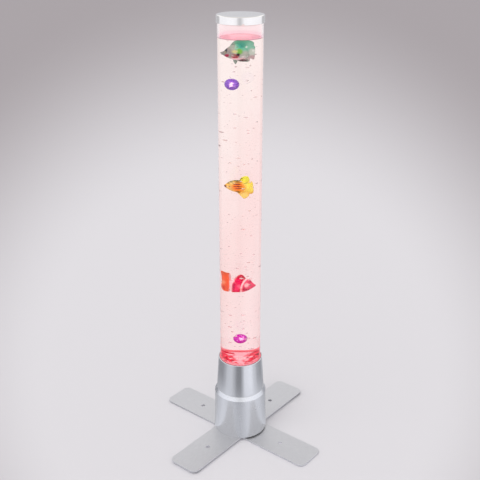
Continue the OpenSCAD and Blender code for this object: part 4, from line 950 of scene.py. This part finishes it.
def fin_finish(name, spec):
    """Fin: the fish's own paint between thin darker rays, and light shows through."""
    nodes = finish(name)
    along = nodes.part(nodes.add("UVMap", {}, uv_map="Rays"), "X")
    rays = nodes.math("SINE", nodes.math("MULTIPLY", along, TURN))
    dark = nodes.ramp(nodes.math("MULTIPLY_ADD", rays, 0.5, 0.5), (0, 0.4), (0.5, 0))
    tone = nodes.mix(dark, fish_paint(nodes, spec), spec["ray"])
    # the glow is painted light from the lamp below
    leaf = nodes.surface(tone, 0.4, nodes.relief(rays, 0.1 * MM, 0.4), PAINTED_LAMP_GLOW, Specular_IOR_Level=0.1)
    return nodes.done(nodes.blend(0.35, leaf, nodes.add("BsdfTranslucent", {"Color": tone})))


def eye_finish(name, iris):
    """Eye: black pupil, coloured iris and a dark rim, by the distance from the eye's axis."""
    nodes = finish(name)
    off = nodes.part(nodes.add("UVMap", {}, uv_map="UVMap"), "X")
    tone = nodes.ramp(off, (0, 0.01), (0.5, 0.01), (0.56, iris), (0.84, iris), (0.92, 0.03))
    return nodes.done(nodes.surface(tone, 0.1, Coat_Weight=1.0, Coat_Roughness=0.03))


# Each fish in millimetres, as in the CAD model: s is the distance from the snout and z the height over it.
# A station is (s, top, bottom, half thickness). A fin is its edge's points (s, z) and its root's two ends.
# An eye is (s, z, radius). A patch of paint or of painted highlight is (s, z, length, height, softness, red,
# green, blue).
FISH = {
    "fish_green": {
        "snout": -30.4, "height": 0.6825, "side": (16, 6.6, -4), "rays": 0.55, "gill": 13.5,
        "eye": (8.2, 1.6, 1.5), "iris": (0.75, 0.6, 0.2), "ground": (0.4, 0.44, 0.38),
        "ray": (0.16, 0.34, 0.28), "drift": 3.5,
        "stations": [
            (0, 0.7, -0.7, 0.7), (6, 3.8, -5.2, 3.4), (11, 9.6, -8.4, 5.6), (18, 15.4, -11.6, 7.2),
            (26, 16.8, -12.8, 7.2), (34, 11.5, -10, 4.8), (41, 4.5, -5, 2)],
        "fins": [
            ([(13, 9), (17.5, 18), (24, 24.2), (35, 24.8), (45.5, 23.4), (50.4, 18), (47, 9)],
             [(16, 6), (39, 1)]),
            ([(40, 8), (44, 12), (51, 14), (52, 5), (51.6, -5.5), (50, -12), (44, -9), (40, -6)],
             [(38, 2), (38, -2)]),
            ([(25, -10), (28, -15), (36, -16.2), (43, -15.6), (44.5, -10)], [(27, -4), (38, -1)]),
            ([(19.6, -11), (21, -17), (23.4, -20.6), (25.4, -17), (26.6, -11)], [(20.5, -6), (25.5, -6)])],
        "patches": [
            (3, 0, 6, 4, 0.4, 0.2, 0.2, 0.18), (14, 5, 7, 10, 0.3, 0.27, 0.25, 0.235),
            (35, 17, 16, 12, 0.25, 0.17, 0.58, 0.38), (32, 15, 6, 6, 0.6, 0.06, 0.46, 0.34),
            (46, 12, 8, 9, 0.4, 0.32, 0.7, 0.54), (18, 15, 5, 8, 0.5, 0.38, 0.46, 0.38),
            (48, 2, 6, 7, 0.3, 0.68, 0.74, 0.67), (47, -9, 6, 5.5, 0.3, 0.66, 0.46, 0.48),
            (29, 4, 4.6, 5.4, 0.4, 0.17, 0.46, 0.06), (21.5, 4, 4.6, 3.2, 0.45, 0.58, 0.56, 0.24),
            # the two small near-white patches at s 39.7 and 49.5 are painted highlights
            (39.7, 11.7, 1.4, 1.7, 0.4, 0.9, 0.95, 0.9), (49.5, 5, 1.6, 2, 0.4, 0.95, 0.96, 0.94),
            (8.8, 6.4, 1.7, 4.6, 0.35, 0.005, 0.006, 0.008), (9.6, -4.6, 3.3, 3.6, 0.35, 0.36, 0.0, 0.05),
            (26, -10.4, 13, 2.2, 0.4, 0.85, 0.55, 0.58), (22.3, -5.0, 6, 4.2, 0.3, 0.48, 0.0, 0.03),
            (26.8, -2.0, 3, 2.6, 0.35, 0.02, 0.0, 0.0), (36, -6.5, 5, 1.8, 0.5, 0.62, 0.56, 0.56),
            (34.5, -13.4, 6.5, 1.8, 0.4, 0.14, 0.01, 0.03)],
    },
    "fish_orange": {
        "snout": -25.5, "height": 0.4115, "side": (17, 6.8, -8.4), "rays": 0.5, "gill": 12.5,
        "eye": (8.6, 1.2, 1.35), "iris": (0.4, 0.22, 0.07), "ground": (0.88, 0.5, 0.05),
        "ray": (0.74, 0.58, 0.02), "drift": 1.6,
        "stations": [
            (0, 0.6, -0.6, 0.6), (4, 5.4, -4.4, 3), (9, 10.2, -8.2, 5.4), (16, 13.2, -11.4, 7),
            (24, 13.2, -12.8, 7.2), (31, 10.4, -11, 5), (38, 5.5, -6, 2.2)],
        "fins": [
            ([(23.6, 11), (26, 17.6), (30.5, 21.4), (36.6, 21.5), (39.6, 14), (38.6, 6)], [(25, 7), (37, 3)]),
            ([(36, 7), (39, 10), (44, 9), (45.4, -3), (45.6, -13.5), (41, -17), (37, -8)],
             [(34, 2), (34, -3)]),
            ([(19, -10.4), (24, -17.5), (31, -26.6), (37.5, -22.4), (40.6, -13)], [(22, -6), (36, -2)])],
        "patches": [
            (8, -3, 8, 6, 0.4, 0.8, 0.48, 0.12), (36, 0, 8, 14, 0.4, 0.9, 0.72, 0.1),
            (22, 0, 10, 9, 0.4, 0.84, 0.2, 0.0), (28, -4, 5, 6, 0.6, 0.88, 0.36, 0.02),
            (12, 8, 6, 3, 0.5, 0.66, 0.48, 0.14), (20, 6.0, 6.5, 1.4, 0.35, 0.26, 0.03, 0.0),
            (21, 1.4, 7, 1.4, 0.35, 0.28, 0.02, 0.0), (23, -2.8, 6, 1.3, 0.35, 0.32, 0.03, 0.0),
            (22, 10.5, 6, 1.8, 0.5, 0.34, 0.14, 0.01), (5.5, 7.2, 3, 1.7, 0.4, 0.28, 0.2, 0.06),
            (10.5, 11, 3.6, 1.7, 0.4, 0.22, 0.18, 0.05), (19, 13.6, 9, 1.5, 0.4, 0.12, 0.12, 0.02),
            (33, 17.5, 8, 7.5, 0.25, 0.84, 0.88, 0.06), (26.5, 17, 3, 1.3, 0.5, 0.3, 0.3, 0.02),
            (35, 7.4, 4.5, 1.1, 0.5, 0.4, 0.44, 0.03), (42, -2, 6.5, 12, 0.35, 0.9, 0.83, 0.13),
            (30, -20, 9, 7, 0.4, 0.94, 0.8, 0.26), (21.5, -10.4, 4.4, 1.7, 0.35, 0.24, 0.03, 0.0),
            (1.4, -0.4, 2.8, 3, 0.35, 0.22, 0.06, 0.01), (4.4, 0.2, 1.3, 1.5, 0.4, 0.8, 0.55, 0.25)],
    },
    "fish_banded": {
        "snout": 24.9, "height": 0.182, "side": (17, 7.2, -5), "rays": 0.6, "gill": 12.5,
        "eye": (9.4, 5.0, 1.8), "iris": (0.95, 0.75, 0.7), "ground": (0.93, 0.56, 0.57),
        "ray": (0.66, 0.1, 0.04), "drift": 2.4,
        "stations": [
            (0, 0.7, -0.7, 0.7), (5, 7, -4.4, 4.2), (9, 14, -7.4, 6), (16, 17.6, -11.4, 7.6),
            (23, 20.4, -13.4, 8), (31, 18.4, -13.2, 6.6), (38, 14, -10.4, 3.8), (43, 12, -6, 2)],
        "fins": [
            ([(14.6, 15), (17.6, 21.5), (22, 28), (26.4, 28), (33, 21), (36.4, 13.4)], [(17, 12), (34, 9)]),
            ([(41, 14), (40.8, 29.4), (48.5, 32), (57.8, 33.4), (56.4, 20), (55.8, 9), (57.6, -1),
              (55.2, -10), (48.5, -13.5), (42, -12.4), (41, -4)], [(39, 10), (39, 0)]),
            ([(24, -12.6), (29, -13.9), (38.6, -13.6), (38.4, -8)], [(26, -8), (36, -5)])],
        "patches": [
            (19, -9, 19.4, 39, 0.06, 0.72, 0.0, 0.075), (27, 2, 4, 5, 0.6, 0.86, 0.12, 0.22),
            (20, 18, 4, 8, 0.6, 0.52, 0.0, 0.04), (31, -4, 3, 6, 0.6, 0.9, 0.03, 0.13),
            (36, 1, 2.0, 8, 0.6, 0.5, 0.0, 0.06), (25, -9, 3, 4, 0.6, 0.62, 0.0, 0.05),
            (10, -8, 15.4, 30.2, 0.05, 0.95, 0.55, 0.57), (10, -8, 12.3, 26, 0.06, 0.78, 0.06, 0.14),
            (14.5, 5, 3.4, 4.6, 0.5, 0.9, 0.48, 0.5), (10, 12, 4, 2.6, 0.5, 0.58, 0.02, 0.08),
            (13.5, -6.5, 5, 2.4, 0.5, 0.48, 0.0, 0.05), (19, -3, 1.4, 4, 0.5, 0.5, 0.0, 0.05),
            (4, 0, 3, 2, 0.5, 0.7, 0.05, 0.12), (52, 10, 9.6, 40, 0.12, 0.94, 0.17, 0.04),
            (53, 8, 4, 4.5, 0.6, 0.97, 0.44, 0.22), (52, -5, 2.6, 4, 0.6, 0.74, 0.06, 0.02),
            (49, 31, 9, 2.2, 0.5, 0.72, 0.12, 0.02), (46, -2, 1.6, 9, 0.6, 0.84, 0.14, 0.06)],
    },
}


class LAMP_OT_fish(bpy.types.Operator):
    """Make the three toy fish"""

    bl_idname = "lamp.fish"
    bl_label = "Fish"

    def execute(self, context):
        for node, spec in FISH.items():
            body = node + "_float"
            settle(fish_body(node + "_body", spec), body, fish_skin(node + "_skin", spec), node)
            settle(fish_fins(node + "_fins", spec), body, fin_finish(node + "_fin", spec))
            settle(fish_eyes(node + "_eyes", spec), body, eye_finish(node + "_eye", spec["iris"]))
        return {"FINISHED"}


class LAMP_OT_balls(bpy.types.Operator):
    """Make the two coloured balls"""

    bl_idname = "lamp.balls"
    bl_label = "Balls"

    def execute(self, context):
        for node, deep, pale in (
                ("ball_purple", (0.22, 0.07, 0.56), (0.74, 0.43, 0.92)),
                ("ball_pink", (0.55, 0.008, 0.42), (0.97, 0.52, 0.90))):
            low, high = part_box(node)
            # a ball with a shallow seam round its waist: the radius dips where the latitude is near none
            grid = 49, 72
            points, latitude = globe(*grid)
            size = (high.z - low.z) / 2 * (1 - 0.012 * np.exp(-(latitude / 0.05) ** 2))
            ball = mesh_piece(node + "_shell", points * size + np.array((low + high) / 2), grid_quads(*grid))
            settle(ball, node + "_float", self.finish(node, deep, pale), node)
        return {"FINISHED"}

    def finish(self, node, deep, pale):
        """Clear coloured plastic, its light and shade painted by how the wall faces: deep where the wall is
        seen edge on and pale, near white at the middle, where light shines through it, in wisps of painted
        highlight."""
        nodes = finish(node + "_plastic")
        edge = nodes.add("LayerWeight", {"Blend": 0.5}, "Facing")
        # wisps of painted highlight move the pale middle off centre
        highlight_wisps = nodes.math("SUBTRACT", nodes.noise(nodes.place(), 150.0, 3), 0.455)
        edge = nodes.math("ADD", edge, nodes.math("MULTIPLY", highlight_wisps, 0.9))
        darkest = np.array(deep) * 0.7
        tone = nodes.ramp(edge, (0, (1.0, 0.78, 1.0)), (0.04, pale), (0.15, deep), (0.9, darkest))
        return nodes.done(nodes.surface(tone, 0.12, glow=PAINTED_LAMP_GLOW, Specular_IOR_Level=0.25))


# ----- plug, pads and inner pieces


# Finishes of the CAD nodes that keep their shape: each one's function, name and looks, and its nodes
INNER = (
    (metal_finish, "screw_steel", ((0.50, 0.50, 0.52), 0.3, 1.0, 0.08, 1500.0),
     "collar_screws plate_screws bar_screws bar_nuts light_screws control_screws button_screws pivot_pin "
     "cover_screws"),
    (metal_finish, "plated_nut", ((0.72, 0.72, 0.73), 0.18, 1.0, 0.04, 1200.0), "socket_nut"),
    (metal_finish, "turned_brass", ((0.72, 0.50, 0.20), 0.28, 1.0, 0.06, 1500.0, (1, 1, 0.2)),
     "light_posts control_posts"),
    (metal_finish, "magnet_grey", ((0.16, 0.16, 0.17), 0.6, 0.3, 0.1, 500.0), "arm_magnet"),
    (layered_finish, "stacked_iron", ((0.30, 0.30, 0.32), (0.12, 0.12, 0.13), 0.5 * MM, "Z", 0.8, 0.5),
     "pump_core"),
    (layered_finish, "wound_copper", ((0.60, 0.24, 0.09), (0.22, 0.08, 0.03), 0.4 * MM, "X", 0.7, 0.35),
     "pump_coil"),
    (plastic_finish, "socket_black", ((0.025, 0.025, 0.028), 0.35), "power_socket button_plunger"),
    (plastic_finish, "black_rubber", ((0.035, 0.035, 0.038), 0.8, 0.15, 900.0, 0.06 * MM, 0.0, 0.2),
     "tube_cushion upper_bar_pads lower_bar_pads pump_feet pump_diaphragm"),
    (plastic_finish, "pale_rubber", ((0.55, 0.5, 0.5), 0.6, 0.08), "plug_seals nozzle_washer"),
    (plastic_finish, "nylon", ((0.68, 0.66, 0.60), 0.5), "pump_arm"),
    (plastic_finish, "pump_plastic", ((0.06, 0.065, 0.08), 0.5, 0.12), "pump_tray pump_chamber valve_cover"),
    (plastic_finish, "valve_blue", ((0.12, 0.32, 0.62), 0.3), "check_valve"),
    (plastic_finish, "button_white", ((0.78, 0.78, 0.79), 0.3, 0.02), "colour_button"),
    (plastic_finish, "soft_hose", ((0.80, 0.84, 0.86), 0.2, 0.03, 600.0, 0.03 * MM, 0.8),
     "upper_hose lower_hose"),
    (plastic_finish, "lead_sleeve", ((0.45, 0.02, 0.02), 0.45),
     "power_lead coil_lead light_lead button_lead"),
    (plastic_finish, "chips_black", ((0.02, 0.02, 0.022), 0.5, 0.2, 300.0), "board_parts button_switch"),
    (board_finish, "green_board", ((0.01, 0.16, 0.06), (0.06, 0.32, 0.12)), "control_board button_board"),
    (board_finish, "white_board", ((0.82, 0.82, 0.80), (0.70, 0.70, 0.66)), "light_board"),
    # the nozzle and its nut glow with painted light from the red lights under them
    (glow_finish, "lit_nozzle", ((0.95, 0.42, 0.45), (0.85, 0.2, 0.25), 0.5), "air_nozzle nozzle_nut"),
    (glow_finish, "lit_lens", ((1.0, 0.15, 0.15), (0.9, 0.05, 0.05), 1.0), "lights"),
)


class LAMP_OT_inner(bpy.types.Operator):
    """Finish the lit plug, the pads, the fasteners and everything inside the can"""

    bl_idname = "lamp.inner"
    bl_label = "Plug, pads and inner pieces"

    def execute(self, context):
        red = context.scene.lamp_tube.glow_colour
        plug = (glow_finish, "lit_plug", (red, (0.35, 0.0, 0.02), 0.55), "tube_plug")
        for kind, name, looks, nodes in (*INNER, plug):
            material = kind(name, *looks)
            for node in nodes.split():
                dress(node, material)
        # the plug's glowing face: a disc of even rings that closes the narrow gap round the plug
        profile = np.stack([np.linspace(TUBE_IN_R + 0.06 * MM, 0, 30), np.full(30, PLUG_TOP + 0.06 * MM)], -1)
        settle(revolved("lit_face", profile, 128, closed=False), "lamp", self.face_finish(red),
               casts_shadow=False)
        return {"FINISHED"}

    def face_finish(self, red):
        """Red streaks that run round the middle, from noise over distance and heading. A long oval that
        points at the photo's front and the front half of the rim are paler, with edges that noise bends."""
        nodes = finish("lit_face")
        polar = nodes.add("CombineXYZ", {0: nodes.math("MULTIPLY", nodes.reach(), 120.0),
                                         1: nodes.math("MULTIPLY", nodes.heading(nodes.place()), 1.7)})
        streaks = nodes.noise(polar, 1.6, 4, 0.6)
        tone = nodes.ramp(streaks, (0.41, (0.28, 0.0, 0.012)), (0.47, red), (0.56, red),
                          (0.63, (1.0, 0.30, 0.36)))
        warp = nodes.math("SUBTRACT", nodes.noise(nodes.place(), 95.0, 4, 0.6), 0.5)
        warp = nodes.math("MULTIPLY", warp, 1.3)
        way = nodes.front()
        oval, front, rim = (
            nodes.math("ADD", nodes.math("DIVIDE", off, TUBE_IN_R), warp) for off in (
                nodes.length(nodes.vector("MULTIPLY_ADD", way, (0.27, 1, 0), (3.5 * MM, 0, 0))),
                nodes.part(way, "X"), nodes.reach()))
        edge = nodes.math("MULTIPLY", nodes.ramp(front, (0, 0), (0.28, 1)),
                          nodes.ramp(rim, (0.7, 0), (0.9, 0.75)))
        pale = nodes.math("MAXIMUM", nodes.ramp(oval, (0.24, 0.95), (0.38, 0)), edge)
        tone = nodes.mix(pale, tone, (1.0, 0.52, 0.58))
        return nodes.done(nodes.surface(tone, 0.6, nodes.relief(streaks, 1 * MM, 0.5), 0.27,
                                        Specular_IOR_Level=0.0))


# ----- panel and run


OPERATORS = (LAMP_OT_stage, LAMP_OT_tube, LAMP_OT_bubbles, LAMP_OT_cap, LAMP_OT_foot, LAMP_OT_bars,
             LAMP_OT_fish, LAMP_OT_balls, LAMP_OT_inner)


class LAMP_PT_panel(bpy.types.Panel):
    """Lists the lamp's settings and the steps that build it"""

    bl_idname = "LAMP_PT_panel"
    bl_label = "Bubble tube floor lamp"
    bl_space_type = "VIEW_3D"
    bl_region_type = "UI"
    bl_category = "Lamp"

    def draw(self, context):
        for group in (context.scene.lamp_tube, context.scene.lamp_metal, context.scene.lamp_stage):
            box = self.layout.box()
            for name in group.__annotations__:
                box.prop(group, name)
        for operator in OPERATORS:
            self.layout.operator(operator.bl_idname)


CLASSES = (*SETTINGS, *OPERATORS, LAMP_PT_panel)


def register():
    for cls in CLASSES:
        bpy.utils.register_class(cls)
    bpy.types.Scene.lamp_tube = PointerProperty(type=LampTubeSettings)
    bpy.types.Scene.lamp_metal = PointerProperty(type=LampMetalSettings)
    bpy.types.Scene.lamp_stage = PointerProperty(type=LampStageSettings)


def unregister():
    for name in ("lamp_tube", "lamp_metal", "lamp_stage"):
        delattr(bpy.types.Scene, name)
    for cls in reversed(CLASSES):
        bpy.utils.unregister_class(cls)


def main():
    """Registers the add-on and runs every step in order."""
    register()
    for step in ("stage", "tube", "bubbles", "cap", "foot", "bars", "fish", "balls", "inner"):
        getattr(bpy.ops.lamp, step)()


if __name__ == "__main__":
    main()
